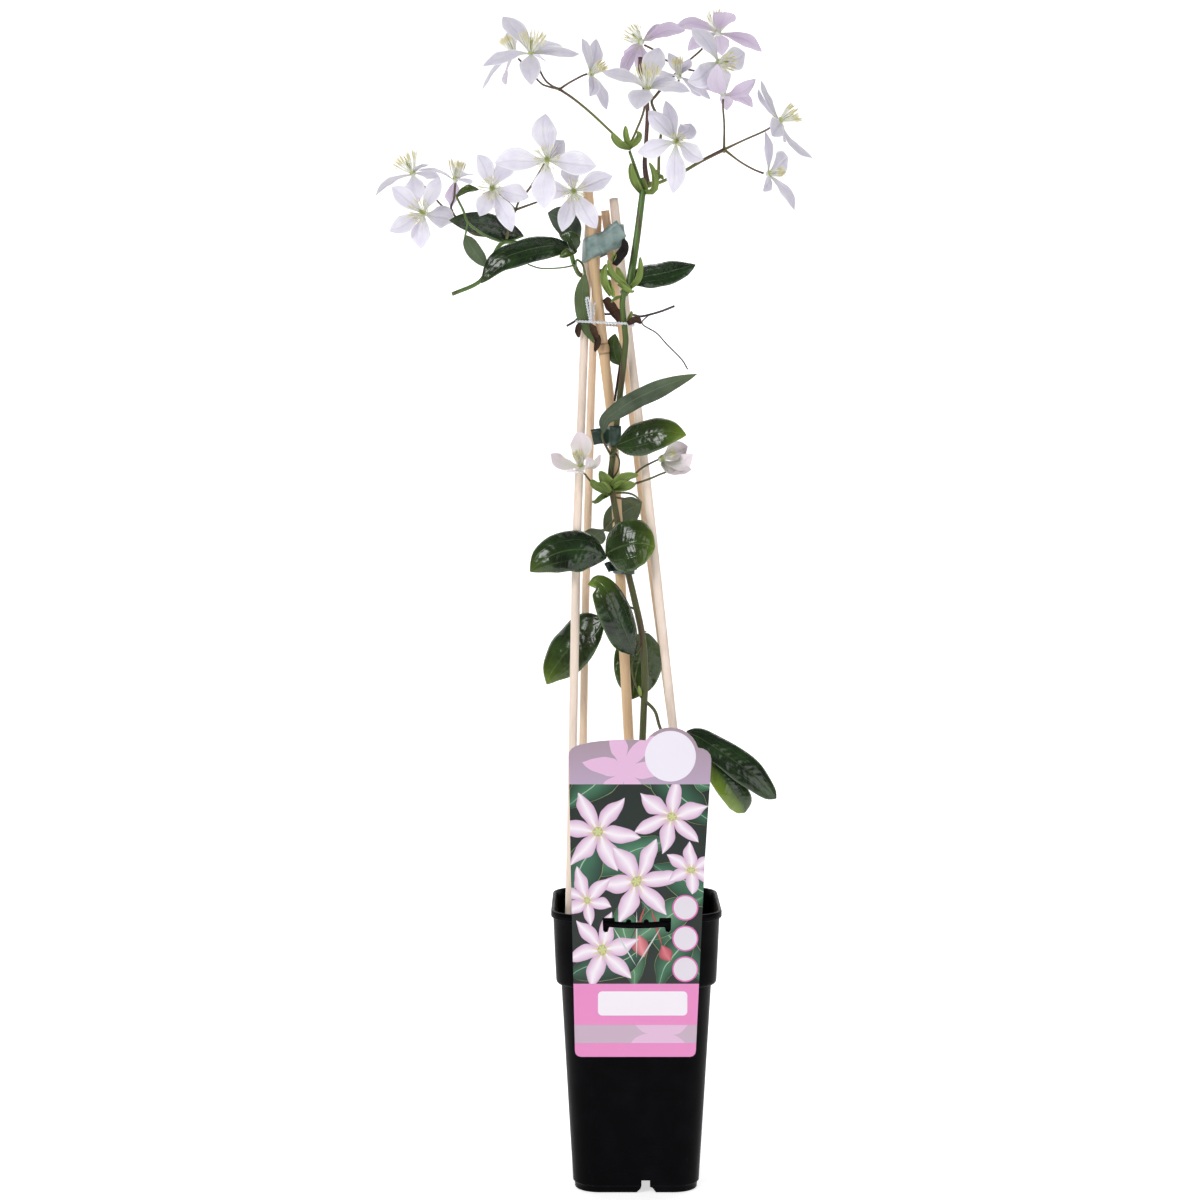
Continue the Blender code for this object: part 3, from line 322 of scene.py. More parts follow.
SLOT_HALF, CURVE_HALF, SLOT_LOW, SLOT_RISE = 22.4, 23.5, 193.1, 1.6


def slot_bar(count=25):
    """The bar that the card hangs on: an oval section carried along z = low + rise (x / half)^2."""
    x = np.linspace(-SLOT_HALF, SLOT_HALF, count)
    z = SLOT_LOW + SLOT_RISE * (x / CURVE_HALF) ** 2
    turn = ring_angles(12)
    y = np.where(np.cos(turn) > 0, -60.9 - 0.6 * np.cos(turn), -57.3)
    rise = 1.85 * np.sin(turn)
    taper = np.sqrt(np.clip(1 - (x / (SLOT_HALF + 0.3)) ** 8, 0.05, 1))
    rings = np.stack([np.repeat(x[:, None], 12, 1), np.repeat(y[None], count, 0),
                      z[:, None] + rise[None] * taper[:, None]], -1)
    return skin(rings[:, ::-1])


# %% [markdown]
# Black polypropylene with a fine moulded texture: it is nearly black, a little blue in the light,
# and its satin skin shows soft broad highlights. Faint flow streaks and dust make it less even.

# %% Pot material
pot_look, tree, shader = new_material("moulded_polypropylene")
where = add(tree, "TexCoord").outputs["Object"]
dust = add(tree, "TexNoise", {"Vector": where, "Scale": 60.0, "Detail": 6.0})  # 17 mm
streak_at = add(tree, "Mapping", {"Vector": where, "Scale": (90.0, 90.0, 9.0)})  # 11 mm by 111 mm
streak = add(tree, "TexNoise", {"Vector": streak_at, "Scale": 1.0, "Detail": 3.0})
dusty = add(tree, "MapRange", {"Value": dust, "From Min": 0.45, "From Max": 0.8, "To Max": 0.5})
tint = add(tree, "Mix", {0: dusty, 6: "#040406", 7: "#101014"})
rough = add(tree, "MapRange", {"Value": streak, "From Min": 0.3, "From Max": 0.7,
                               "To Min": 0.3, "To Max": 0.44})
grit = add(tree, "TexNoise", {"Vector": where, "Scale": 1400.0, "Detail": 2.0})  # 0.7 mm, coarser than real
bump = add(tree, "Bump", {"Height": grit, "Strength": 0.12, "Distance": 0.0004})
fill(shader, {"Base Color": tint, "Roughness": rough, "Normal": bump, "Specular IOR Level": 0.035})
pot = make_object("pot_wall", [skin(pot_rings), slot_bar()], pot_look, ["pot"])

# %% [markdown]
# The foot has one small drain notch on each side: a slit with a flared mouth and one slanting
# shoulder. A prism of that outline cuts each one, and the cut is applied at once, so the kept
# mesh is plain.

# %% Drain notches
NOTCH = [(-7.5, -1), (-3.6, 2.8), (-3, 5), (-3, 9), (3, 9), (3, 4), (4.8, 3.4), (8, -1)]
NOTCH_OFFSET, NOTCH_DEPTHS = 6.6, (-48.0, -37.0)
notches = []
count = len(NOTCH)
prism_sides = [(k, (k + 1) % count, (k + 1) % count + count, k + count) for k in range(count)]
prism_ends = [tuple(range(count - 1, -1, -1)), tuple(range(count, 2 * count))]
for side in range(4):
    c, s = math.cos(side * math.pi / 2), math.sin(side * math.pi / 2)
    turned = [((NOTCH_OFFSET + x) * c - y * s, (NOTCH_OFFSET + x) * s + y * c, z)
              for y in NOTCH_DEPTHS for x, z in NOTCH]
    mesh = bpy.data.meshes.new("notch")
    mesh.from_pydata(np.array(turned) * MM, [], prism_sides + prism_ends)
    notch = put("notch", mesh)
    cut = pot.modifiers.new("notch", "BOOLEAN")
    cut.operation, cut.object, cut.solver = "DIFFERENCE", notch, "EXACT"
    notches.append(notch)
bpy.context.view_layer.update()
carved = bpy.data.meshes.new_from_object(pot.evaluated_get(bpy.context.evaluated_depsgraph_get()))
pot.modifiers.clear()
pot.data = carved
for notch in notches:
    bpy.data.objects.remove(notch)
pot.data.set_sharp_from_angle(angle=math.radians(35))
print("pot faces after the notches:", len(pot.data.polygons))

# %% [markdown]
# ## The soil
# Potting compost is dark, open and uneven: fine peat with bits of bark. The top is a rounded square
# drawn as rings that shrink to its middle, with a height made of a few sine waves, and small faceted
# crumbs are scattered over it.

# %% Soil surface
CRUMBS = 420
rng = np.random.default_rng(7)


def soil_height(x, y):
    """182 mm plus slow waves and finer ripples, in millimetres."""
    return (182.3 + 0.9 * np.sin(x / 9 + 1) * np.cos(y / 11) + 0.7 * np.sin(x / 4.1 - y / 5.3)
            + 0.35 * np.sin(x / 1.9 + y / 2.3 + 2) + 0.3 * np.cos(x / 1.3 - y / 1.7))


def soil_block(rings=34):
    """The top is the rounded square shrunk to each share of its size, and the side drops down the wall."""
    edge = rounded_square(55.0, 0, 21.0)
    share = np.linspace(0.02, 1, rings)[:, None, None]
    top = edge[None] * share
    top[..., 2] = soil_height(top[..., 0], top[..., 1]) - 1.2 * share[..., 0] ** 8
    down = [edge * [0.998, 0.998, 1] + [0, 0, 178.0], edge * [0.95, 0.95, 1] + [0, 0, 153.0]]
    rows = np.concatenate([top, np.array(down)])
    return skin(rows[::-1])


def crumb(place, size, flat):
    """A crumb: a ball of 4 rings of 6 points, each pushed in or out a little at random."""
    rise = np.array([-0.9, -0.35, 0.35, 0.9])[:, None]
    turn = ring_angles(6)[None]
    wide = np.sqrt(1 - (rise * 0.97) ** 2)
    rings = np.stack([wide * np.cos(turn), wide * np.sin(turn), rise + 0 * turn], -1) * size
    rings = rings * rng.uniform(0.7, 1.25, rings.shape[:2])[..., None] * [1, flat, 0.7]
    return skin(rings + place, tone=rng.uniform())


soil_parts = [soil_block()]
for _ in range(CRUMBS):
    x, y = rng.uniform(-52, 52, 2)
    place = np.array([x, y, soil_height(x, y) + 0.3])
    soil_parts.append(crumb(place, rng.uniform(0.7, 2.0), rng.uniform(0.5, 1.5)))

# %% [markdown]
# Peat compost is matt and dark brown, with fine grains and a few paler bits of bark. The tone that
# each crumb was given decides which ones are bark.

# %% Soil material
soil_look, tree, shader = new_material("peat_compost")
where = add(tree, "TexCoord").outputs["Object"]
crumb_tone = add(tree, "Attribute", attribute_name="spot").outputs["Alpha"]
grain = add(tree, "TexNoise", {"Vector": where, "Scale": 350.0, "Detail": 8.0, "Roughness": 0.7})  # 3 mm
blend = add(tree, "Mix", {0: grain, 6: "#1A110C", 7: "#4A3628"})
bark = add(tree, "MapRange", {"Value": crumb_tone, "From Min": 0.75, "To Max": 0.8})
mixed = add(tree, "Mix", {0: bark, 6: blend, 7: "#7A5A3E"})
bump = add(tree, "Bump", {"Height": grain, "Strength": 0.9, "Distance": 0.001})
fill(shader, {"Base Color": mixed, "Normal": bump, "Roughness": 0.95})
make_object("compost", soil_parts, soil_look, ["soil"])

# %% [markdown]
# ## The canes
# Each cane is a thin bamboo stem: straight and smooth, with a swollen joint here and there that has
# a scar line above and below. The radius grows by a bell curve at a joint and dips at the scars,
# rings are closer together there, and the path is the course of the solid.

# %% Cane table and surface
CANES = {
    "cane_front_left": (3.05, 0.05, (-0.2,), [
        (-48, -37, 153), (-47, -35, 197), (-42, -21, 459), (-37, -12, 592), (-33, -4, 687)]),
    "cane_back_left": (2.8, 0.5, (-0.2,), [
        (-41, 44, 153), (-40, 40, 193), (-36, 22, 414), (-32, 11, 558), (-27, 4, 688)]),
    "cane_middle": (3.6, 0.85, (0.08, 0.8), [
        (3, -4, 153), (1, -5, 201), (-17, -11, 543), (-23, -12, 591), (-31, -13, 662), (-34, -14, 703)]),
    "cane_back_right": (2.9, 0.65, (0.4, 0.75), [
        (49, 33, 154), (43, 30, 199), (13, 20, 427), (4, 14, 493), (-7, 7, 586), (-22, 0, 691)]),
    "cane_front_right": (3.2, 0.0, (-0.2,), [
        (45, -41, 153), (40, -38, 197), (16, -23, 417), (7, -17, 501), (-6, -10, 607), (-16, -3, 699)]),
}


def cane(radius, tone, joints, course, count=170, sides=20):
    """r = radius (1 + 0.2 e^(-(d/4)^2) - 0.07 e^(-((|d|-3.4)/0.8)^2)), d mm from the next joint.

    A slow wave of 2 % along the cane is added, and the path is the given course.
    """
    line = np.array(course, float)
    near_joint = np.linspace(-9, 9, 31) / lengths(line)[-1]
    steps = np.concatenate([np.linspace(0, 1, count)] + [joint + near_joint for joint in joints])
    path = along_path(line, np.unique(steps.clip(0, 1)))
    along = lengths(path)
    near = np.array([along - j * along[-1] for j in joints])
    swell = np.exp(-(near / 4.0) ** 2).max(0)
    scar = np.exp(-((np.abs(near) - 3.4) / 0.8) ** 2).max(0)
    wave = 1 + 0.02 * np.sin(along / 37 + tone * 9)
    rings = rings_round(path, radius * (wave + 0.2 * swell - 0.07 * scar), sides, *across_path(path))
    spot = np.zeros(rings.shape[:2] + (4,))
    spot[..., 0] = scar[:, None]
    spot[..., 1] = swell[:, None]
    spot[..., 3] = tone
    return skin(rings, spot)


# %% [markdown]
# Bamboo has a hard, waxy skin with long fibres: colour changes in fine streaks along the cane, and
# it is darker at the joints. The noise is squeezed across the cane and stretched along it. The values
# of each point say how near a scar or a joint it is, and how golden that cane is.

# %% Bamboo material
bamboo, tree, shader = new_material("bamboo_skin")
where = add(tree, "TexCoord").outputs["Object"]
scar, swell, _, golden = spot_values(tree)
fibre_at = add(tree, "Mapping", {"Vector": where, "Scale": (900.0, 900.0, 14.0)})  # 1 mm by 71 mm
fibre = add(tree, "TexNoise", {"Vector": fibre_at, "Scale": 1.0, "Detail": 4.0})
blotch_at = add(tree, "Mapping", {"Vector": where, "Scale": (120.0, 120.0, 25.0)})  # 8 mm by 40 mm
blotch = add(tree, "TexNoise", {"Vector": blotch_at, "Scale": 1.0, "Detail": 5.0})
pale = add(tree, "Mix", {0: golden, 6: "#FFF2E8", 7: "#E8C698"})
dark = add(tree, "Mix", {0: golden, 6: "#F4DCC8", 7: "#CBA26E"})
mixed = add(tree, "Mix", {0: fibre, 6: pale, 7: dark})
stain = add(tree, "MapRange", {"Value": blotch, "From Min": 0.58, "From Max": 0.85, "To Max": 0.3})
stained = add(tree, "Mix", {0: stain, 6: mixed, 7: "#8F6236"})
swollen = add(tree, "MapRange", {"Value": swell, "To Max": 0.4})
knotty = add(tree, "Mix", {0: swollen, 6: stained, 7: "#A67C52"})
ringed = add(tree, "Math", {0: scar, 1: blotch}, operation="MULTIPLY")
scarred = add(tree, "MapRange", {"Value": ringed, "From Min": 0.1, "From Max": 0.5, "To Max": 0.85})
jointed = add(tree, "Mix", {0: scarred, 6: knotty, 7: "#4E2C1C"})
bump = add(tree, "Bump", {"Height": fibre, "Strength": 0.35, "Distance": 0.0004})
fill(shader, {"Base Color": jointed, "Normal": bump, "Roughness": 0.38})
for name, (radius, tone, joints, course) in CANES.items():
    make_object("bamboo_" + name, [cane(radius, tone, joints, course)], bamboo, [name])

# %% [markdown]
# ## Tapes, string and wire
# Soft tape is pulled round the canes: seen from above it is the hull of their circles, so each
# direction takes the circle that reaches furthest that way. The top tape climbs to the right.

# %% Ties
def cane_circle(name, height):
    """(x, y, radius) of a cane at one height, read between the points of its course."""
    radius, _, _, course = CANES[name]
    p = np.array(course, float)
    return np.interp(height, p[:, 2], p[:, 0]), np.interp(height, p[:, 2], p[:, 1]), radius


def wrap(circles, gap, steps=72):
    """The circles' hull: in direction a it meets the circle with the largest x cos a + y sin a + r."""
    turn = ring_angles(steps)
    way = np.stack([np.cos(turn), np.sin(turn)], -1)
    c = np.array(circles)
    best = np.argmax(way @ c[:, :2].T + c[:, 2], axis=1)
    return c[best, :2] + (c[best, 2] + gap)[:, None] * way


def closed_band(names, stems, low, high, slope, rounds=6):
    """A strip whose section is a flat loop, carried round the hull of the circles and joined."""
    heights = np.linspace(low, high, rounds)
    circles = [[cane_circle(name, z) for name in names] + stems for z in heights]
    inner = np.stack([wrap(c, TAPE_GAP) for c in circles], 1)
    outer = np.stack([wrap(c, TAPE_GAP + TAPE_THICK) for c in circles], 1)
    lift = slope * (inner[..., :1] - inner[..., 0].mean())
    height = heights[None, :, None]
    rings = np.concatenate([np.concatenate([inner, height + lift], -1),
                            np.concatenate([outer, height + lift], -1)[:, ::-1]], axis=1)
    around = rings.shape[1]
    quads = grid_faces(len(rings) + 1, around, True) % rings[..., 0].size
    return rings.reshape(-1, 3), quads[:, ::-1], np.zeros((0, 3), int), np.zeros((rings[..., 0].size, 4))


def ribbon(points, tall, thick, count=14):
    """An upright flat section, thick across and tall along Z, carried along a smooth path."""
    path = smooth_path(points, count)
    ahead = unit(np.gradient(path, axis=0))
    side = unit(np.cross(ahead, [0, 0, 1]))
    up = np.cross(side, ahead)
    a = np.array([-1, -0.5, 0, 0.5, 1, 1, 0.5, 0, -0.5, -1]) / 2
    b = np.repeat([-0.5, 0.5], 5)
    rings = path[:, None] + tall * a[:, None] * up[:, None] + thick * b[:, None] * side[:, None]
    return skin(rings[:, ::-1])


def plastic(name, colour, light, rough):
    """Soft PVC: even colour with paler stretched patches and a slightly waxy shine."""
    made, tree, shader = new_material(name)
    where = add(tree, "TexCoord").outputs["Object"]
    patch = add(tree, "TexNoise", {"Vector": where, "Scale": 160.0, "Detail": 4.0})  # 6 mm
    level = add(tree, "MapRange", {"Value": patch, "From Min": 0.35, "From Max": 0.7})
    tint = add(tree, "Mix", {0: level, 6: colour, 7: light})
    bump = add(tree, "Bump", {"Height": patch, "Strength": 0.25, "Distance": 0.0008})
    fill(shader, {"Base Color": tint, "Normal": bump, "Roughness": rough, "IOR": 1.53})
    return made


TAPE_GAP, TAPE_THICK = 0.45, 0.9
EVERY, MIDDLE = list(CANES), ["cane_middle"]
tape_look = plastic("soft_pvc_tape", "#6F8683", "#9AADA9", 0.36)
dark_tape = plastic("dark_pvc_tape", "#1E322A", "#3C554A", 0.4)
# canes and stem circles inside, low and high edge, slope, and the loose end's course, height, thickness
TAPES = {
    "tape_top": (EVERY, [], 659, 675, 0.42,
                 [(-27, -16.4, 664), (-21, -16.2, 669), (-15, -17.0, 674), (-10.4, -17.3, 677)], 13, 0.8),
    "tape_middle": (MIDDLE, [(-15.5, -20.5, 2.5), (-14.5, -20.7, 2.5)], 525, 539, 0.0,
                    [(-20.4, -13, 532), (-26, -15, 532), (-31, -15, 531)], 11, 0.9),
    "tape_low": (MIDDLE, [(-7.0, -22.2, 2.9), (-5.5, -22.3, 2.9)], 435, 444, 0.0,
                 [(-16.2, -10.5, 440), (-19, -12.5, 440), (-21, -13, 439)], 7, 0.9),
}
for name, (canes, stems, low, high, slope, end, tall, thick) in TAPES.items():
    look, slot = (tape_look, "tape") if name == "tape_top" else (dark_tape, "dark_tape")
    make_object("tie_" + name, [closed_band(canes, stems, low, high, slope), ribbon(end, tall, thick)],
                look, [name])

# %% [markdown]
# The white string is two strands twisted together. Each strand's middle turns round the string's
# path about once every 4 mm: c(s) + q (N cos(2 pi s / 4) + B sin(2 pi s / 4)), half a turn from the other.

# %% String and wire
def twisted(path, strand, pitch, closed):
    """Two strands that wind round a path, each a thin tube of six sides."""
    long = lengths(path)[-1]
    shares = np.linspace(0, 1, int(long / pitch * 8))
    fine = along_path(path, shares)
    ahead = unit(np.gradient(fine, axis=0))
    side = unit(np.cross(ahead, [0.3, 0.1, 1.0]))
    other = np.cross(ahead, side)
    turns = shares * (round(long / pitch) if closed else long / pitch)
    made = []
    for half in (0, math.pi):
        wind = (2 * math.pi * turns + half)[:, None]
        core = fine + strand * 0.9 * (side * np.cos(wind) + other * np.sin(wind))
        made.append(skin(rings_round(core, strand, 6, side, other)))
    return made


STRING_HEIGHT = 611.0
STRING_HOLDS = [(-8.5, -23, 2.2), (-40.5, -15.8, 0.3), (-31.5, -15.8, 0.3)]
ring = wrap([cane_circle(name, STRING_HEIGHT) for name in EVERY] + STRING_HOLDS, 1.2, 90)
loop = np.column_stack([ring, STRING_HEIGHT - 0.06 * (ring[:, 0] + 20)])
loop = along_path(np.vstack([loop, loop[:1]]), np.linspace(0, 1, 200))
knot = loop[np.argmin(loop[:, 1] + 2 * np.abs(loop[:, 0] + 32))]
string_parts = twisted(loop, 0.56, 4.4, True)
for end, count in (([(0, 0, 0), (-1.5, -2, 7), (-3, -5, 16), (-0.8, -6, 14.5), (0.5, -2, 2)], 40),
                   ([(0, 0, 0), (2.2, -1, 5), (2, -2, 11), (3.5, -2.5, 13)], 20)):
    string_parts += twisted(even_path(knot + np.array(end), np.linspace(0, 1, count)), 0.5, 4.0, False)
# bleached cotton is matt and off-white, and greyer where the fibres part
cord_look, tree, shader = new_material("bleached_cotton_string")
where = add(tree, "TexCoord").outputs["Object"]
fuzz = add(tree, "TexNoise", {"Vector": where, "Scale": 900.0, "Detail": 3.0})  # 1 mm, coarser than real
tint = add(tree, "Mix", {0: fuzz, 6: "#F4F4F6", 7: "#C9CCD6"})
fill(shader, {"Base Color": tint, "Roughness": 0.9})
make_object("string_loop", string_parts, cord_look, ["string"])

WIRE_PATH = [(-49, -13, 609.2), (-43.5, -11.5, 612.5), (-40, -6, 616), (-36, 6, 619), (-28, 14, 619),
             (-12, 14, 619), (-2, 6, 618), (3, -3, 616.5), (9, -5, 617.5), (18, -7, 620), (27, -8, 623.5)]
WIRE_DROP = [(9, -5, 617.5), (4, -12, 611), (14, -18, 604), (21, -24, 596), (31, -36, 585), (35, -42, 578)]
wire_look = plastic("coated_wire", "#2A2228", "#4B3F46", 0.5)
wire_parts = [tube(WIRE_PATH, [0.8], 10, 80), tube(WIRE_DROP, [0.5], 8, 50)]
make_object("wire", wire_parts, wire_look, ["tie_wire"])

# %% [markdown]
# ## Leaves, bracts and petals
# A leaf, a bract and a petal are the same kind of surface with different numbers. The midrib is a
# smooth curve. Across it, a point at u from -1 to 1 lies u * half the width to the side, and rises by
# a fold |u|, a cup u^2 and a ruffle near the edge; channels run along a petal. The lower face follows
# the upper one, a little below, and the two meet at a thin edge, so the blade is closed.

# %% Blade surface
def outline(points):
    """A smooth half-width between the given (share of the length, share of the width)."""
    fine = smooth_path([(s, w, 0) for s, w in points], 90)
    return lambda s: np.interp(s, fine[:, 0], fine[:, 1])


OVAL_LEAF = outline([(0, .06), (.05, .32), (.15, .7), (.3, .95), (.47, 1), (.65, .92), (.81, .68),
                     (.92, .36), (.98, .12), (1, .03)])
ROUND_LEAF = outline([(0, .1), (.05, .48), (.15, .82), (.32, 1), (.52, 1), (.72, .94), (.86, .74),
                      (.95, .46), (1, .1)])
BLUNT_LEAF = outline([(0, .1), (.05, .5), (.16, .78), (.4, .94), (.64, 1), (.82, .92), (.93, .7),
                      (.98, .42), (1, .1)])
TIPPED_LEAF = outline([(0, .1), (.05, .5), (.16, .78), (.4, .96), (.62, 1), (.8, .82), (.92, .56),
                       (.97, .3), (1, .03)])
BRACT = outline([(0, .55), (.15, .8), (.4, 1), (.65, .9), (.85, .62), (.95, .36), (1, .1)])
PETAL = outline([(0, .12), (.08, .2), (.2, .42), (.35, .76), (.5, .98), (.6, 1), (.72, .88), (.84, .62),
                 (.92, .36), (.97, .17), (1, .02)])
FREE_EDGE = 0.15


def blade(points, facing, width, shape, rows=24, columns=13, thick=0.35, fold=0.0, cup=0.0, ruffle=0.0,
          curl=0.0, channels=0.0, seed=0, tone=0.0, tip_tone=0.0, side_tone=0.0):
    """The closed blade described above: curl bends its tip back, and the tones are its fourth value."""
    local = np.random.default_rng(seed)
    t = np.linspace(0, 1, rows)
    s = 0.55 * t + 0.45 * (0.5 - 0.5 * np.cos(math.pi * t))  # rows closer at both ends
    spine = even_path(points, s)
    ahead = unit(np.gradient(spine, axis=0))
    across = unit(np.cross(ahead, np.array(facing, float)))
    up = unit(np.cross(across, ahead))
    s = s[:, None]
    u = np.linspace(-1, 1, columns)
    phase = local.uniform(0, 6.3, 4)
    left = np.sign(u)
    uneven = 1 + 0.03 * np.sin(5 * s + phase[2] + 1.3 * left) + 0.012 * np.sin(13 * s + phase[3] * left)
    half = width / 2 * shape(s)
    wave = np.sin(9.5 * s + phase[0] + 0.9 * left) + 0.6 * np.sin(19 * s + phase[1] * left)
    rise = half * (fold * np.abs(u) + cup * u ** 2) + ruffle * np.abs(u) ** 2.5 * wave * shape(s)
    rise = rise - curl * width * np.clip(s - 0.6, 0, 1) ** 2 * 6
    groove = np.exp(-(u / 0.1) ** 2) + 0.45 * (0.5 + 0.5 * np.cos(2 * math.pi * 3 * u)) * (1 - u ** 2)
    rise = rise - channels * groove * np.sin(math.pi * np.clip(s * 1.05, 0, 1)) ** 0.5
    top = spine[:, None] + across[:, None] * (u * half * uneven)[..., None] + up[:, None] * rise[..., None]
    depth = thick * (1 - (1 - FREE_EDGE) * np.abs(u) ** 3) * np.ones_like(s)
    low = top - up[:, None] * depth[..., None]
    rings = np.concatenate([top, low[:, ::-1]], axis=1)
    both = np.concatenate([u, u[::-1]])
    spot = np.zeros(rings.shape[:2] + (4,))
    spot[..., 0] = s
    spot[..., 1] = both * 0.5 + 0.5
    spot[:, columns:, 2] = 1.0
    spot[..., 3] = np.clip(tone + tip_tone * s ** 6 + side_tone * np.clip(both, 0, 1) ** 0.5, 0, 1)
    return skin(rings, spot)


# %% [markdown]
# ### The leaf finish
# The leaves are leathery: dark green and waxy above, with a fine pale midrib, faint veins and a
# quilted surface between them, and matt grey-green below. Young parts are yellow-green. The blade's
# own values say where a point is: along, across, which face, and how yellow.

# %% Leaf material
SIDE_VEINS = 15
leaf_look, tree, shader = new_material("leathery_leaf")
where = add(tree, "TexCoord").outputs["Object"]
along, aside, below, yellow = spot_values(tree)
across = add(tree, "MapRange", {"Value": aside, "To Min": -1.0})
away = add(tree, "Math", {0: across}, operation="ABSOLUTE")
rib = add(tree, "MapRange", {"Value": away, "From Max": 0.05, "To Min": 0.36, "To Max": 0.0})
side_off = add(tree, "Math", {0: away, 1: 0.5}, operation="SUBTRACT")
side_far = add(tree, "Math", {0: side_off}, operation="ABSOLUTE")
side_rib = add(tree, "MapRange", {"Value": side_far, "From Max": 0.035, "To Min": 0.12, "To Max": 0.0})
ribs = add(tree, "Math", {0: rib, 1: side_rib}, operation="MAXIMUM")
slant = add(tree, "Math", {0: away, 1: -0.12, 2: along}, operation="MULTIPLY_ADD")
side_veins = add(tree, "Math", {0: slant, 1: 2 * math.pi * SIDE_VEINS}, operation="MULTIPLY")
swelling = add(tree, "Math", {0: side_veins}, operation="SINE")
fine_rib = add(tree, "MapRange", {"Value": swelling, "From Min": 0.93, "To Max": 0.07})
edge_line = add(tree, "MapRange", {"Value": away, "From Min": 0.9, "From Max": 0.97, "To Max": 0.35})
pale_line = add(tree, "Math", {0: fine_rib, 1: edge_line}, operation="MAXIMUM")
lines = add(tree, "Math", {0: pale_line, 1: ribs}, operation="MAXIMUM")
cells = add(tree, "TexVoronoi", {"Vector": where, "Scale": 230.0}, feature="SMOOTH_F1")  # 4 mm
cloud = add(tree, "TexNoise", {"Vector": where, "Scale": 70.0, "Detail": 6.0})  # 14 mm
patch = add(tree, "MapRange", {"Value": cloud, "From Min": 0.35, "From Max": 0.65})
deep = add(tree, "Mix", {0: patch, 6: "#0D190D", 7: "#243C1B"})
veined = add(tree, "Mix", {0: lines, 6: deep, 7: "#637F42"})
matt = add(tree, "Mix", {0: patch, 6: "#323F2F", 7: "#4C5B47"})
matt_rib = add(tree, "Mix", {0: ribs, 6: matt, 7: "#8B9D76"})
faced = add(tree, "Mix", {0: below, 6: veined, 7: matt_rib})
young = add(tree, "Mix", {0: yellow, 6: faced, 7: "#7F9A30"})
gloss = add(tree, "MapRange", {"Value": below, "To Min": 0.2, "To Max": 0.6})
height = add(tree, "Math", {0: ribs, 1: -0.9, 2: cells}, operation="MULTIPLY_ADD")
quilted = add(tree, "Math", {0: swelling, 1: -0.05, 2: height}, operation="MULTIPLY_ADD")
relief = add(tree, "Math", {0: cloud, 1: 0.6, 2: quilted}, operation="MULTIPLY_ADD")
bump = add(tree, "Bump", {"Height": relief, "Strength": 0.55, "Distance": 0.001})
fill(shader, {"Base Color": young, "Roughness": gloss, "Normal": bump, "Specular IOR Level": 0.55})

# %% [markdown]
# ### The leafy stems
# The main stem climbs in front of the middle cane and grows a little thinner on the way. Leaf stalks,
# tendrils, leaves and light green bracts leave it at its nodes. The tables give places in millimetres,
# and a stem's row starts with its two radii.

# %% Leafy stem tables
MAIN_STEM = (2.5, 2.0, [
    (3, -24, 153), (3, -24, 201), (3, -24, 276), (5, -24, 334), (6, -24, 363), (4, -24, 392),
    (-2, -23, 420), (-6, -22, 437), (-13, -21, 471), (-17, -20, 493), (-18, -20, 505), (-16, -20, 522),
    (-12, -21, 557), (-8, -23, 593), (-8, -23, 604), (-10, -23, 624), (-8, -23, 634)])
GREEN_STEMS = [
    (3.0, 2.1, [(-9, -23, 631), (-5, -21, 639), (0, -16, 669), (4, -10, 700), (5, -9, 704)]),
    (1.4, 1.0, [(5, -9, 702), (0, -11, 717), (-5, -13, 731.2)]),
    (1.2, 1.0, [(6, -24, 346), (13, -30, 339), (17, -36, 327), (25, -42, 319), (34, -46, 324)]),
    (1.0, 0.9, [(17, -36, 327), (30, -45, 316), (44, -48, 312)]),
    (0.7, 0.6, [(5, -24, 346), (2, -25, 351), (-3, -24, 366), (-1, -18, 380), (5, -8, 392), (7, 0, 393)]),
    (0.9, 0.6, [(-19, -20, 492), (-28, -22, 496), (-32, -24, 500), (-36, -25, 505), (-38.5, -26, 508)]),
    (0.9, 0.6, [(-15, -20, 497), (-5, -22, 502), (3, -24, 509), (10, -25, 513), (15.5, -26, 515.6)]),
    (0.8, 0.6, [(-15, -20, 495), (0, -24, 499), (9, -27, 502), (16, -28, 505), (21, -28, 507),
                (22, -28, 509)]),
    (0.8, 0.7, [(-15, -20, 489), (-5, -24, 487), (-1, -26, 482), (0, -30, 474), (-4, -34, 462)]),
    (0.8, 0.7, [(-13, -21, 470), (-18, -23, 458), (-21, -25, 451)]),
    (0.8, 0.7, [(-14, -20, 475), (-22, -18, 466), (-24, -13, 466)]),
    (0.9, 0.8, [(-17, -20, 517), (-21, -25, 524), (-24, -28, 531), (-23, -28, 537)]),
    (0.9, 0.8, [(-17, -20, 518), (-17, -25, 519), (-14, -28, 522)]),
    (0.7, 0.6, [(-17, -20, 521), (-14, -24, 519), (-12, -26, 514), (-13, -25, 508), (-16, -21, 503)]),
    (0.8, 0.7, [(0, -23, 410), (-8, -21, 413), (-14, -17, 413), (-21, -12, 412)]),
    (0.8, 0.7, [(-16, -20, 492), (-7, -17, 492), (-1, -9, 490), (4, 4, 485)]),
    (0.7, 0.6, [(-10, -22, 573), (-11, -17, 577), (-12, -10, 582.5)]),
    (0.8, 0.7, [(4, -24, 388), (2, -29, 383), (0, -32, 379)]),
    (0.9, 0.8, [(-8, -23, 632), (-2, -20, 633)]),
]
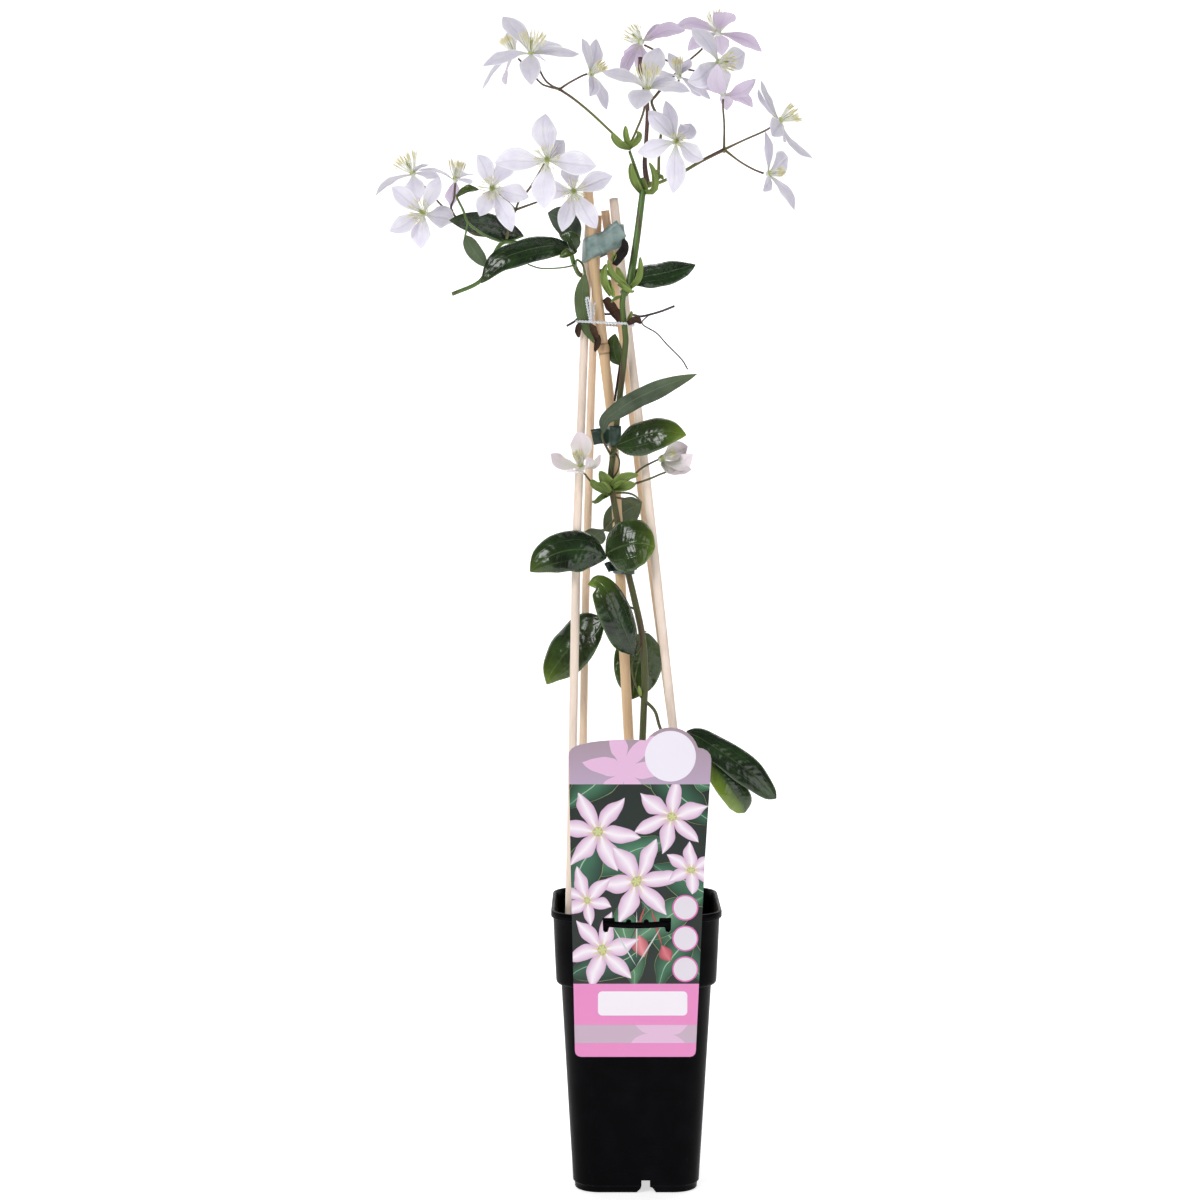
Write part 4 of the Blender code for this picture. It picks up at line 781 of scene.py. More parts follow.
SIDE_STEMS = [
    (1.8, 1.4, [(-13.5, -18.5, 641), (-19, -12, 646), (-25, -4, 648), (-33, 0.5, 646), (-40, -1, 646),
                (-44, -8, 653), (-47, -13, 661), (-56, -13, 664), (-75, -6, 666), (-94, 4, 669),
                (-103, 2, 655), (-111, 0, 641), (-130, -4, 632)]),
    (0.9, 0.8, [(-94, 4, 669), (-103, -12, 671), (-111, -20, 675), (-118, -22, 681), (-121, -22, 689),
                (-125, -20, 697), (-126, -18, 700)]),
    (0.7, 0.7, [(-118, -22, 681), (-119, -21, 675), (-120, -19, 671)]),
    (0.6, 0.5, [(-44, -8, 653), (-45, -18, 651), (-54, -23, 649), (-67, -20, 649), (-76, -16, 652)]),
    (0.8, 0.7, [(-43, -5, 649), (-42, -15, 655), (-38, -20, 652), (-36, -21, 645)]),
    (0.8, 0.7, [(-47, -13, 661), (-43, -17, 664), (-40, -19, 668)]),
    (0.8, 0.7, [(-47, -13, 661), (-44, -20, 662), (-42, -23, 661)]),
    (0.9, 0.8, [(-94, 4, 669), (-88, 6, 671), (-80, 8, 674)]),
]
# midrib, the way the upper face looks, width, outline, bend of the edges, yellow all over, at the tip
# and on one side
MAIN_LEAVES = [
    ([(34.7, -46, 326.4), (46.1, -49, 321), (63.4, -50, 309.5), (80.6, -51, 296.9), (97.2, -50, 280.2)],
     (20, -90, 40), 22, TIPPED_LEAF, -0.3, (0, .05, 0)),
    ([(48.5, -48, 309.3), (57.5, -52, 298.7), (66.7, -54, 286.8), (73.3, -50, 277), (75.7, -46, 269.5)],
     (20, -90, 30), 20, BLUNT_LEAF, -0.35, (0, .15, .7)),
    ([(8.3, 0, 391.8), (4.7, 4, 381), (1.6, 5, 368.1), (-0.7, 3, 356.4), (-2.6, 0, 344.8)], (10, -90, 10),
     35, OVAL_LEAF, -0.25, (.12, .1, 0)),
    ([(-22.6, -12, 403), (-35.3, -11, 394.8), (-48, -10, 381.2), (-58.9, -8, 366.5), (-63.9, -6, 355.9)],
     (-40, -80, 20), 33, OVAL_LEAF, -0.3, (.04, .6, 0)),
    ([(-0.8, -31, 378.7), (-6.7, -39, 392.3), (-13.4, -43, 407.7), (-19.6, -43, 421.9), (-26.2, -40, 430.2),
      (-34.4, -36, 428.5)], (30, -90, 30), 26, OVAL_LEAF, -0.45, (0, .8, 0)),
    ([(-20.9, -25, 446.9), (-34.3, -31, 452.1), (-49, -34, 452), (-63, -36, 447), (-74.5, -35, 437.5)],
     (0, -95, 30), 30, OVAL_LEAF, -0.35, (0, .3, 0)),
    ([(-21.6, -26, 449.6), (-12, -34, 454.4), (-1.4, -38, 457.2), (7.5, -37, 456.3), (13.1, -34, 454.2)],
     (10, -90, 30), 36, ROUND_LEAF, -0.25, (.05, .7, 0)),
    ([(4, 4, 485), (-10, 2, 477), (-23, 2, 465)], (0, 80, 50), 23, OVAL_LEAF, -0.2, (.12, 0, 0)),
    ([(-24, -13, 466), (-30, -6, 461), (-36, 2, 455)], (0, 80, 50), 16, OVAL_LEAF, -0.2, (.12, 0, 0)),
    ([(-23, -28, 533.7), (-22.5, -31, 541.8), (-15.8, -36, 548.3), (0.2, -40, 558.3), (20.2, -44, 567.2),
      (41.2, -46, 574.6)], (-25, 70, 40), 15.5, OVAL_LEAF, -0.3, (.03, .2, 0)),
    ([(-15, -28, 525.3), (-3.5, -36, 529.6), (9.2, -41, 533.5), (21.9, -44, 535.1), (34.2, -44, 532.7)],
     (0, -90, 40), 26, OVAL_LEAF, -0.35, (.04, .9, 0)),
    ([(-4.9, -19, 638.3), (4.8, -13, 643.5), (21.1, -6, 647.2), (42, 0, 653.3)], (0, -80, 40), 20,
     OVAL_LEAF, -0.3, (0, 0, 0)),
    ([(-12, -10, 582), (-15, -10, 589), (-16, -10, 597), (-15, -10, 604)], (0, -90, 0), 11, OVAL_LEAF, -0.2,
     (.1, .2, 0)),
]
SIDE_LEAVES = [
    ([(-36, -21, 645.5), (-38.2, -18.5, 630), (-36, -16.5, 612), (-30, -15.5, 597)], (-10, 80, 0), 11,
     OVAL_LEAF, -0.2, (.2, .1, 0)),
    ([(-44.5, -14, 664.3), (-61.9, -22, 664.3), (-81.3, -28, 659.7), (-97.2, -30, 652.6),
      (-108.4, -29, 638.1)], (0, -90, 40), 20, OVAL_LEAF, -0.3, (0, .1, 0)),
    ([(-80, 8, 674), (-105, -2, 681), (-131, -14, 683)], (10, -95, 10), 17, OVAL_LEAF, -0.25, (0, .1, 0)),
    ([(-126, -18, 699), (-118, -20, 703), (-110, -18, 704)], (0, -60, 70), 9, OVAL_LEAF, 0.2, (.25, 0, 0)),
    ([(-120, -19, 672), (-114, -20, 662), (-105, -18, 650)], (0, 80, 30), 11, OVAL_LEAF, -0.2, (.1, 0, 0)),
    ([(-40, -19, 668), (-50, -11, 682), (-62, -5, 689)], (30, 80, 30), 21, OVAL_LEAF, -0.2, (0, 0, 0)),
    ([(-42.3, -22.8, 661.4), (-46, -26, 669), (-53, -24, 671)], (0, -80, 50), 10, OVAL_LEAF, 0.3,
     (.05, .2, 0)),
    ([(-43.7, -20.3, 661.7), (-47, -28, 659), (-54, -28, 656)], (0, -80, 50), 8, OVAL_LEAF, 0.3,
     (.25, .2, 0)),
]
# midrib, width, how light
BRACTS = [
    ([(2.9, -9, 701.8), (-1.8, -13, 708.5), (-3.8, -14, 716), (-4, -13, 722.8)], 6, 0.55),
    ([(4.6, -9, 701.8), (11.3, -13, 702.6), (12.8, -14, 708.4), (11.7, -13, 716.1), (8.8, -12, 723.4)], 5,
     0.5),
    ([(4.4, -8, 701.4), (3.9, -9, 708.1), (4.6, -9, 713.2)], 7, 0.3),
    ([(-5.3, -13, 732.2), (-11.7, -18, 733.6), (-15.7, -19, 737.6), (-17, -18, 743)], 6, 0.6),
    ([(-5.8, -12, 732.9), (-7.7, -14, 741.2), (-7.8, -14, 748.6)], 4.5, 0.75),
    ([(-4.4, -12, 732.9), (0.2, -16, 737.2), (1.6, -16, 741), (0.4, -15, 744.6)], 5, 0.6),
    ([(12.1, -6, 713.5), (13.8, -7, 716.8), (16.5, -7, 717.8)], 3, 0.7),
    ([(14.5, -3, 711.7), (16.6, -4, 713.7), (19.2, -4, 712.4)], 3.5, 0.25),
    ([(30.2, 1, 714.3), (31.7, 0, 715.4), (33.6, 0, 714.5)], 2.6, 0.8),
    ([(-4.2, -25, 632.3), (-11.4, -27, 638.1), (-17.7, -28, 644.8), (-20.4, -28, 654.3)], 4.6, 0.6),
    ([(-7.8, -24, 633.2), (-11.8, -23, 641.2), (-13.9, -22, 649.6)], 6, 0.85),
    ([(-4.6, -22, 634.5), (0.6, -25, 639.9), (2.3, -26, 647.3), (2.4, -26, 656.5)], 4.6, 0.6),
    ([(-18.4, -25, 629.5), (-22.4, -26, 636.6), (-23.2, -26, 644.2), (-21.2, -25, 651.8)], 5.5, 0.65),
    ([(-13, -27, 637.3), (-7.4, -29, 633.2), (-2.5, -28, 631.5)], 4, 0.75),
    ([(-16.2, -26, 628.6), (-19.2, -25, 635.1), (-19.2, -24, 641.1)], 4.5, 0.8),
    ([(-16.9, -27, 653.6), (-15.8, -28, 656.7), (-16.9, -28, 659.5)], 3, 0.8),
    ([(-11, -24, 628.8), (-15.4, -26, 626.8), (-18, -26, 624.7)], 2.6, 0.3),
    ([(-6.4, -24, 610.8), (-4.2, -25, 615.6), (-3.4, -25, 619.1)], 3, 0.5),
    ([(-19, -22, 491.5), (-25.4, -26, 494.4), (-29.8, -28, 497.2), (-31.3, -28, 501.6)], 9, 0.55),
    ([(-19.5, -21, 495.5), (-23, -25, 500.8), (-25.8, -26, 507.4)], 9, 0.6),
    ([(-16.1, -22, 496.3), (-9.7, -27, 501.2), (-4.2, -29, 503.2), (1.3, -29, 504.4)], 7, 0.5),
    ([(-15.3, -22, 494.7), (-7.7, -27, 495.6), (-0.5, -28, 498.3)], 8.5, 0.65),
    ([(-14.4, -21, 497.1), (-11.3, -24, 502), (-8.3, -25, 504.6)], 7, 0.35),
    ([(-19.4, -24, 490.7), (-24.6, -28, 488.4), (-28.6, -29, 485.4), (-31.4, -28, 486.2)], 4.2, 0.1),
    ([(-1.2, -26, 387.3), (-0.1, -27, 390.1), (0.4, -27, 392.8)], 2.4, 0.9),
    ([(2.9, -26, 349.5), (2, -27, 352.8), (1.5, -27, 356.8)], 2.6, 0.9),
]
DRY_BITS = [
    ([(-15.6, -26, 650.9), (-12.2, -27, 656.8), (-8.8, -27, 662.8), (-9.1, -26, 669.2)], 7, 0.0),
    ([(-6.2, -27, 610.3), (-1, -28, 612.6), (3.4, -27, 610.3)], 5, 0.6),
    ([(-39.9, -17.5, 610.8), (-41.5, -18, 606.3), (-40.3, -17, 600.8)], 4.5, 0.5),
    ([(-32.2, -19, 609.5), (-29.8, -20, 604.6), (-27.4, -20, 599.4)], 5, 0.9),
    ([(-22.6, -15, 628.1), (-16.9, -14, 620.2), (-11.3, -14, 611.4)], 8, 0.7),
    ([(-31.2, -19, 606.2), (-27.7, -20, 598.5), (-29.1, -19, 590.8)], 5, 0.4),
]
print("stems:", 1 + len(GREEN_STEMS) + len(SIDE_STEMS), "leaves:", len(MAIN_LEAVES) + len(SIDE_LEAVES))

# %% [markdown]
# A stem is olive and streaked with brown low down, where it turns woody, and bright green in two
# tones above. Bracts share this skin: their fourth value says how light they are, and a stem's is 0.

# %% Leafy stem surfaces
stem_look, tree, shader = new_material("green_stem")
where = add(tree, "TexCoord").outputs["Object"]
lightness = add(tree, "Attribute", attribute_name="spot").outputs["Alpha"]
fibre_at = add(tree, "Mapping", {"Vector": where, "Scale": (700.0, 700.0, 30.0)})  # 1.4 mm by 33 mm
fibre = add(tree, "TexNoise", {"Vector": fibre_at, "Scale": 1.0, "Detail": 3.0})
height = add(tree, "SeparateXYZ", {0: where}).outputs[2]
woody = add(tree, "MapRange", {"Value": height, "From Min": 0.56, "From Max": 0.64,
                               "To Min": 1.0, "To Max": 0.0})
green = add(tree, "Mix", {0: fibre, 6: "#3B5724", 7: "#64833E"})
olive = add(tree, "Mix", {0: fibre, 6: "#34421A", 7: "#5A5A2C"})
aged = add(tree, "Mix", {0: woody, 6: green, 7: olive})
streak_at = add(tree, "Mapping", {"Vector": where, "Scale": (330.0, 330.0, 22.0)})  # 3 mm by 45 mm
streak = add(tree, "TexNoise", {"Vector": streak_at, "Scale": 1.0, "Detail": 2.0})
brown = add(tree, "MapRange", {"Value": streak, "From Min": 0.56, "From Max": 0.64, "To Max": 0.75})
streaked = add(tree, "Mix", {0: brown, 6: aged, 7: "#583A32"})
scale_tone = add(tree, "Mix", {0: lightness, 6: "#3A5426", 7: "#9DB260"})
is_bract = add(tree, "MapRange", {"Value": lightness, "From Min": 0.05, "From Max": 0.2})
fresh = add(tree, "Mix", {0: is_bract, 6: streaked, 7: scale_tone})
bump = add(tree, "Bump", {"Height": fibre, "Strength": 0.4, "Distance": 0.0004})
fill(shader, {"Base Color": fresh, "Normal": bump, "Roughness": 0.42})

# dead leaf is crumpled and matt, from nearly black to a warm brown
dry_look, tree, shader = new_material("dry_leaf_remains")
where = add(tree, "TexCoord").outputs["Object"]
lightness = add(tree, "Attribute", attribute_name="spot").outputs["Alpha"]
cloud = add(tree, "TexNoise", {"Vector": where, "Scale": 500.0, "Detail": 5.0})  # 2 mm
brown = add(tree, "Mix", {0: lightness, 6: "#060506", 7: "#6E4C33"})
aged = add(tree, "Mix", {0: cloud, 6: brown, 7: "#1C1410"})
bump = add(tree, "Bump", {"Height": cloud, "Strength": 0.8, "Distance": 0.0008})
fill(shader, {"Base Color": aged, "Normal": bump, "Roughness": 0.85})


def stems_of(rows, sides=10):
    """A tapering tube for each row, the first one with more points round."""
    return [tube(course, [a, b], sides if k else 16, 8 * len(course))
            for k, (a, b, course) in enumerate(rows)]


def leaves_of(table, first_seed):
    """A leaf blade for each row, folded a little along its midrib, with its edges bent down."""
    return [blade(points, facing, width, shape, rows=30, columns=15, thick=0.45, fold=0.12, cup=bend,
                  ruffle=0.03 * width, curl=0.02, seed=first_seed + k,
                  tone=yellow[0], tip_tone=yellow[1], side_tone=yellow[2])
            for k, (points, facing, width, shape, bend, yellow) in enumerate(table)]


def bracts_of(table, first_seed):
    """A boat-shaped scale for each row, hollow towards the front."""
    return [blade(points, (0.1, -0.9, 0.35), width, BRACT, rows=14, columns=11, thick=0.4, cup=1.2,
                  ruffle=0.03 * width, curl=0.05, seed=first_seed + k, tone=0.2 + 0.8 * light, tip_tone=0.1)
            for k, (points, width, light) in enumerate(table)]


def dry_bits_of(table, first_seed):
    """A crumpled strip for each row: a blade with a strong ruffle."""
    return [blade(points, (0.2, -0.9, 0.1), width, BRACT, rows=16, columns=9, thick=0.4, fold=0.3, cup=0.5,
                  ruffle=0.16 * width, curl=0.1, seed=first_seed + k, tone=light)
            for k, (points, width, light) in enumerate(table)]


vine_parts = stems_of([MAIN_STEM] + GREEN_STEMS) + bracts_of(BRACTS, 60)
make_object("vine_stems", vine_parts, stem_look, ["main_vine"])
make_object("vine_leaves", leaves_of(MAIN_LEAVES, 1), leaf_look, ["main_vine"])
dead_stalk = tube([(-11.3, -18, 582.8), (-13.3, -18, 569.8), (-15.4, -18, 556.3)], [0.95, 0.8], 6, 12, 0.35)
make_object("vine_dry_bits", dry_bits_of(DRY_BITS, 90) + [dead_stalk], dry_look, ["main_vine"])
make_object("shoot_stems", stems_of(SIDE_STEMS), stem_look, ["side_shoot"])
make_object("shoot_leaves", leaves_of(SIDE_LEAVES, 30), leaf_look, ["side_shoot"])

# %% [markdown]
# ## The flower stalks
# The stalks are thin and dark, brown with a touch of wine red, and swell a little where they fork.
# Where they leave a green node they are green for a while. A tube of rings along each course lets the
# radius and the green change on the way. Each row gives the two radii, how green it starts, and its
# course.

# %% Stalk tables and surfaces
STALKS = {
    "stalks_left": [
        (1.1, 0.9, .9, [(-6, -12, 733), (-17, -10, 744), (-32, -10, 758), (-44, -8, 768), (-54, -6, 775)]),
        (0.8, 0.7, .2, [(-54, -6, 775), (-60, -5, 778), (-65, -4, 783), (-71, -4.5, 795)]),
        (0.8, 0.7, .2, [(-54, -6, 775), (-62, 2, 778), (-68, 10, 782), (-78, 24, 795), (-84, 32, 802)]),
        (0.8, 0.7, .1, [(-54, -6, 775), (-47, -10, 779), (-38, -15, 783), (-34.5, -16.5, 784)]),
        (0.9, 0.8, .7, [(-6, -12, 734), (-3, -15, 739), (0, -22, 745), (4, -33, 754), (6.5, -46, 764)])],
    "stalks_top": [
        (1.9, 1.5, 0., [(8, -3, 708), (6, 1, 723), (7, 2, 741), (8, 4, 762), (6, 5, 776), (3, 5, 787),
                        (3, 5, 799)]),
        (1.2, 1.0, .5, [(8, -3, 709), (15, 0, 713), (16, 2, 729), (17, 2, 741), (18, 4, 753), (14, 6, 760),
                        (11, 8, 768), (14, 11, 773), (22, 17, 783), (33, 21, 794)]),
        (0.8, 0.7, .1, [(33, 21, 794), (27, 22, 797), (21, 23, 800), (14, 22, 806), (6, 24, 810.5)]),
        (0.8, 0.7, .1, [(32, 21, 793), (36, 23, 798), (45, 27, 806), (54, 33, 816)]),
        (0.8, 0.7, .1, [(33, 21, 794), (42, 8, 790), (50, -2, 791), (54.5, -9, 792.5)]),
        (0.8, 0.7, .1, [(22, 17, 783), (26, 9, 780), (30, 1.5, 782)]),
        (0.8, 0.7, .1, [(17, 1, 741), (20, -14, 738), (25, -25, 736), (26.5, -31, 735.5)]),
        (1.4, 1.2, 1., [(9, -3, 709), (17, 1, 711), (32, 4, 718), (46, 3, 726), (62, 2, 734)]),
        (0.9, 0.7, .3, [(62, 2, 733), (62, 1, 751), (61, -2, 762), (60.8, -5.5, 768)]),
        (0.9, 0.7, .3, [(62, 2, 734), (76, -4, 740), (91, -11, 746), (97, -14.5, 750.5)]),
        (0.9, 0.7, .3, [(62, 2, 734), (73, 4, 726), (83, 9, 721), (90.5, 12.5, 718.5)])],
    "stalks_front": [
        (1.0, 0.8, .4, [(-91.5, 0.2, 671.5), (-90.5, -3.5, 676), (-88, -6.5, 683), (-85, -6, 691),
                        (-82, -6, 698), (-76, -12, 704), (-70, -26, 711), (-64, -39, 719)]),
        (0.8, 0.7, .2, [(-85, -6, 691), (-92, -11, 698), (-98, -20, 703)]),
        (0.8, 0.7, .2, [(-85, -6, 691), (-64, -9, 698), (-50, -16, 701), (-45, -22, 702)])],
    "stalks_back": [
        (1.0, 0.8, .3, [(-94, 8, 671), (-105, 14, 674), (-118, 14, 677), (-131, 14, 692), (-130, 24, 702),
                        (-130, 40, 714)]),
        (0.8, 0.7, .2, [(-131, 14, 692), (-139, 10, 691), (-149, 4, 689)]),
        (0.8, 0.7, .2, [(-131, 14, 692), (-137, 14, 695), (-142, 17, 700), (-150, 19, 709),
                        (-158, 20.5, 716.5)])],
}
stalk_look, tree, shader = new_material("dark_flower_stalk")
where = add(tree, "TexCoord").outputs["Object"]
along, _, _, green = spot_values(tree)
cloud = add(tree, "TexNoise", {"Vector": where, "Scale": 90.0, "Detail": 4.0})  # 11 mm
tint = add(tree, "Mix", {0: cloud, 6: "#33211F", 7: "#6B4640"})
faded = add(tree, "MapRange", {"Value": along, "To Min": 1.0, "To Max": 0.0})
greenness = add(tree, "Math", {0: faded, 1: green}, operation="MULTIPLY")
greened = add(tree, "Mix", {0: greenness, 6: tint, 7: "#7C8C3E"})
grit = add(tree, "TexNoise", {"Vector": where, "Scale": 900.0, "Detail": 2.0})  # 1 mm
bump = add(tree, "Bump", {"Height": grit, "Strength": 0.4, "Distance": 0.0004})
fill(shader, {"Base Color": greened, "Normal": bump, "Roughness": 0.5})


def knuckle(place, radius, tone=0.0):
    """A small oval swelling where stalks fork: rings of radius sin(t) along Z."""
    t = np.linspace(0.15, math.pi - 0.15, 7)[:, None]
    turn = ring_angles(10)
    rings = np.stack([np.sin(t) * np.cos(turn), np.sin(t) * np.sin(turn), -1.15 * np.cos(t) + 0 * turn], -1)
    verts, quads, caps, spots = skin(rings * radius + np.array(place, float))
    spots[:, 0], spots[:, 3] = 0.0, tone
    return verts, quads, caps, spots


for name, rows in STALKS.items():
    shapes = [tube(course, [a * 1.15, b, b, b, b * 1.1], 10, None, green) for a, b, green, course in rows]
    shapes += [knuckle(course[0], a * 1.5, 0.55) for a, _, _, course in rows[1:]]
    make_object("flower_" + name, shapes, stalk_look, [name])

# %% [markdown]
# ## The blooms
# Each bloom has four to six long pointed-oval petals round a tuft of stamens. The table gives its
# middle, the way it looks, the stamens' length and spread, and each petal's tip, width and arch. Some
# petals are hollow and some bend back, and a groove with two shallow channels runs along them.

# %% Bloom table
BLOOMS = [
    ((-74, -5, 800), (10, -50, 86), 17, 46,
     [(-20, 14, 28, 17, 0.1), (-34, -7, -9, 14, 0.1), (1, -26, -25, 16, 0.1), (34, 9, 1, 13, 0.06),
      (22, 26, 9, 13, 0.1)]),
    ((-87, 34, 806), (-45, -20, 87), 14, 30,
     [(-23, 6, -25, 10, 0.1), (-7, 22, -19, 12, 0.1), (23, 18, -2, 13, 0.1), (-3, 24, 22, 12, 0.06)]),
    ((-32, -18, 784), (72, -55, 42), 13, 24,
     [(-6, -14, 22, 12, 0.06), (4, 12, 26, 13, 0.06), (0, -20, -18, 11, 0.1), (12, 6, -24, 13, 0.06)]),
    ((4, 26, 813), (-60, 50, 62), 15, 36,
     [(-11, 22, -9, 11, 0.1), (-14, 4, -26, 12, 0.1), (3, 14, -22, 13, 0.1), (31, -6, 7, 13, 0.12),
      (20, 20, 12, 12, 0.1)]),
    ((7, -50, 769), (0, -50, 87), 18, 38,
     [(8, 15, 31, 17, 0.06), (-31, 8, 13, 15, 0.1), (29, -8, -2, 15, 0.1), (-8, -27, -17, 18, 0.12),
      (19, 24, 12, 13, 0.1)]),
    ((30, 2, 785), (-10, -35, 90), 13, 22,
     [(22, -16, -18, 9, 0.08), (16, 6, -13, 14, 0.1), (-12, -26, -6, 14, 0.1), (-7, 10, 18, 9, 0.06),
      (8, 12, 14, 10, 0.06)]),
    ((59, 36, 821), (12, 35, 93), 17, 44,
     [(-33, -6, 3, 14, 0.18), (4, -28, 11, 17, 0.06), (32, 0, -13, 13, 0.1), (4, 24, -12, 13, 0.1),
      (-21, 20, -9, 13, 0.1)]),
    ((57, -12, 793), (70, -70, -10), 14, 38,
     [(-18, 12, 26, 17, 0.1), (20, 24, 10, 18, 0.08), (-22, -16, -16, 17, 0.1), (6, -3, -17, 12, 0.04)]),
    ((60.7, -6, 771.2), (10, 30, 95), 12, 20,
     [(-5, -26, 18, 14, -0.2), (-16, 26, 8, 12, 0.06), (22, -8, 10, 13, -0.2), (22, 18, -6, 11, 0.1),
      (4, 28, -7, 10, 0.1)]),
    ((100, -15, 752), (85, -25, 46), 15, 38,
     [(-13, 0, 28, 12, -0.05), (-14, 16, 24, 11, -0.05), (24, 4, -25, 12, -0.12),
      (-7, -28, -14, 16, 0.1), (4, 22, -12, 10, 0.1)]),
    ((94, 12, 718), (92, -38, 10), 11, 20,
     [(-2, -6, 29, 12, 0.05), (17, 24, 15, 17, 0.06), (19, -8, -26, 15, 0.1), (-5, -26, -15, 11, 0.1)]),
    ((27, -35, 735), (12, -98, 5), 11, 36,
     [(-19, 3, 22, 14, 0.06), (-7, 8, 29, 11, 0.06), (11, 24, 15, 14, 0.08), (19, 2, -12, 14, 0.06),
      (-2, -2, -36, 15, 0.06), (-27, 2, -7, 14, 0.06)]),
    ((-62, -45, 721), (0, -100, 5), 14, 56,
     [(-1, 4, 33, 18, 0.06), (-36, 0, -2, 17, 0.06), (34, 0, -4, 18, 0.06), (11, 22, 16, 14, 0.06),
      (-2, 3, -33, 18, 0.06)]),
    ((-44, -26, 702), (5, -98, -10), 14, 54,
     [(-4, 14, 20, 14, 0.06), (27, 6, 11, 15, 0.06), (16, -1, -26, 15, 0.06), (-8, 1, -28, 13, 0.06),
      (-24, 8, 1, 14, 0.06)]),
    ((-100, -25, 704), (-15, -97, -10), 13, 50,
     [(-11, 4, 24, 13, 0.06), (12, 8, 23, 14, 0.06), (25, 3, -6, 14, 0.06), (13, 0, -30, 14, 0.06),
      (-9, -10, -20, 14, 0.06)]),
    ((-150, 0, 689), (-30, -93, 12), 14, 52,
     [(-23, 4, 19, 14, 0.06), (11, -1, 26, 13, 0.06), (21, 10, -5, 17, 0.06), (-2, -2, -25, 15, 0.06),
      (-24, -6, -13, 14, 0.06)]),
    ((-159, 20, 719), (-45, -20, 87), 17, 46,
     [(-27, 0, -15, 13, 0.1), (4, -9, -21, 18, 0.1), (19, -3, -3, 12, 0.1), (11, 12, 9, 13, 0.1)]),
    ((-130, 42, 717), (10, 0, 99), 14, 34,
     [(-26, -10, 6, 14, 0.12), (12, -26, -6, 11, 0.1), (-4, 18, -18, 11, 0.1), (12, 25, 6, 12, 0.1)]),
    ((-39, -26, 511), (-20, -45, 87), 11, 26,
     [(-2, 0, 24, 17, -0.12), (-20, -5, 9, 15, -0.16), (14, -9, 8, 11, -0.2), (-6, -19, -1, 14, -0.18),
      (5, -19, 6, 11, -0.2)]),
    ((17, -26, 516), (85, -30, 42), 10, 12,
     [(19, -2, 9, 15, -0.16), (22, -8, 3, 14, -0.2), (21, -10, -7, 13, -0.2), (14, -14, -10, 12, -0.2)]),
]
print("blooms:", len(BLOOMS), "petals:", sum(len(petals) for *_, petals in BLOOMS))

# %% [markdown]
# ### Petal tissue
# A petal is thin wet tissue: nearly white with a cold lilac tint, green-white at the base, with fine
# veins along it. Its edges are whiter: a painted highlight along the rim. The back is a pinker lilac.
# The two low blooms, under 0.55 m, have only just opened and are still creamy with a pink blush at
# the tips. Light passes through a petal, so the shader scatters a little under the surface.

# %% Petal material
petal_look, tree, shader = new_material("petal_tissue")
where = add(tree, "TexCoord").outputs["Object"]
along, aside, behind, pinkness = spot_values(tree)
veins_at = add(tree, "Math", {0: aside, 1: 110.0}, operation="MULTIPLY")
veins = add(tree, "Math", {0: veins_at}, operation="SINE")
vein = add(tree, "MapRange", {"Value": veins, "From Min": 0.1, "To Max": 0.2})
cloud = add(tree, "TexNoise", {"Vector": where, "Scale": 110.0, "Detail": 4.0})  # 9 mm
patch = add(tree, "MapRange", {"Value": cloud, "From Min": 0.35, "From Max": 0.65})
front = add(tree, "Mix", {0: patch, 6: "#F0EDF8", 7: "#E5E1F2"})
across = add(tree, "MapRange", {"Value": aside, "To Min": -1.0})
away = add(tree, "Math", {0: across}, operation="ABSOLUTE")
# painted highlight: towards its edges the front of a petal is mixed to near white, a rim of painted light
rim_highlight = add(tree, "MapRange", {"Value": away, "From Min": 0.72, "From Max": 0.95})
rim_highlighted = add(tree, "Mix", {0: rim_highlight, 6: front, 7: "#FAF8FF"})
veined = add(tree, "Mix", {0: vein, 6: rim_highlighted, 7: "#B3A8CE"})
fading = add(tree, "MapRange", {"Value": along, "From Max": 0.9, "To Min": 1.0, "To Max": 0.45})
pink = add(tree, "Math", {0: fading, 1: pinkness}, operation="MULTIPLY")
rear = add(tree, "Mix", {0: pink, 6: "#E8E4F0", 7: "#BAA4C2"})
rear_vein = add(tree, "Math", {0: vein, 1: 1.8}, operation="MULTIPLY")
rear_veined = add(tree, "Mix", {0: rear_vein, 6: rear, 7: "#AE8DB6"})
faced = add(tree, "Mix", {0: behind, 6: veined, 7: rear_veined})
height = add(tree, "SeparateXYZ", {0: where}).outputs[2]
new_bloom = add(tree, "MapRange", {"Value": height, "From Min": 0.55, "From Max": 0.6,
                                   "To Min": 0.7, "To Max": 0.0})
blush = add(tree, "MapRange", {"Value": along, "From Min": 0.35})
creamy = add(tree, "Mix", {0: blush, 6: "#F5F1E2", 7: "#F0DAE5"})
opened = add(tree, "Mix", {0: new_bloom, 6: faced, 7: creamy})
near_base = add(tree, "MapRange", {"Value": along, "From Min": 0.05, "From Max": 0.3,
                                   "To Min": 0.5, "To Max": 0.0})
greened = add(tree, "Mix", {0: near_base, 6: opened, 7: "#C3CFA4"})
bump = add(tree, "Bump", {"Height": veins, "Strength": 0.2, "Distance": 0.0004})
fill(shader, {"Base Color": greened, "Normal": bump, "Roughness": 0.5, "Subsurface Weight": 0.2,
              "Subsurface Radius": (0.003, 0.0025, 0.003), "Subsurface Scale": 0.4})

# stamens are matt threads, creamy white with yellow pollen at the tip, and the inner ones green
stamen_look, tree, shader = new_material("stamen_and_pollen")
along, _, _, green = spot_values(tree)
tipped = add(tree, "MapRange", {"Value": along, "From Min": 0.62, "From Max": 0.72})
body = add(tree, "Mix", {0: tipped, 6: "#F6F6EC", 7: "#E6E0B8"})
middle_green = add(tree, "Mix", {0: green, 6: body, 7: "#A9B45C"})
fill(shader, {"Base Color": middle_green, "Roughness": 0.6})

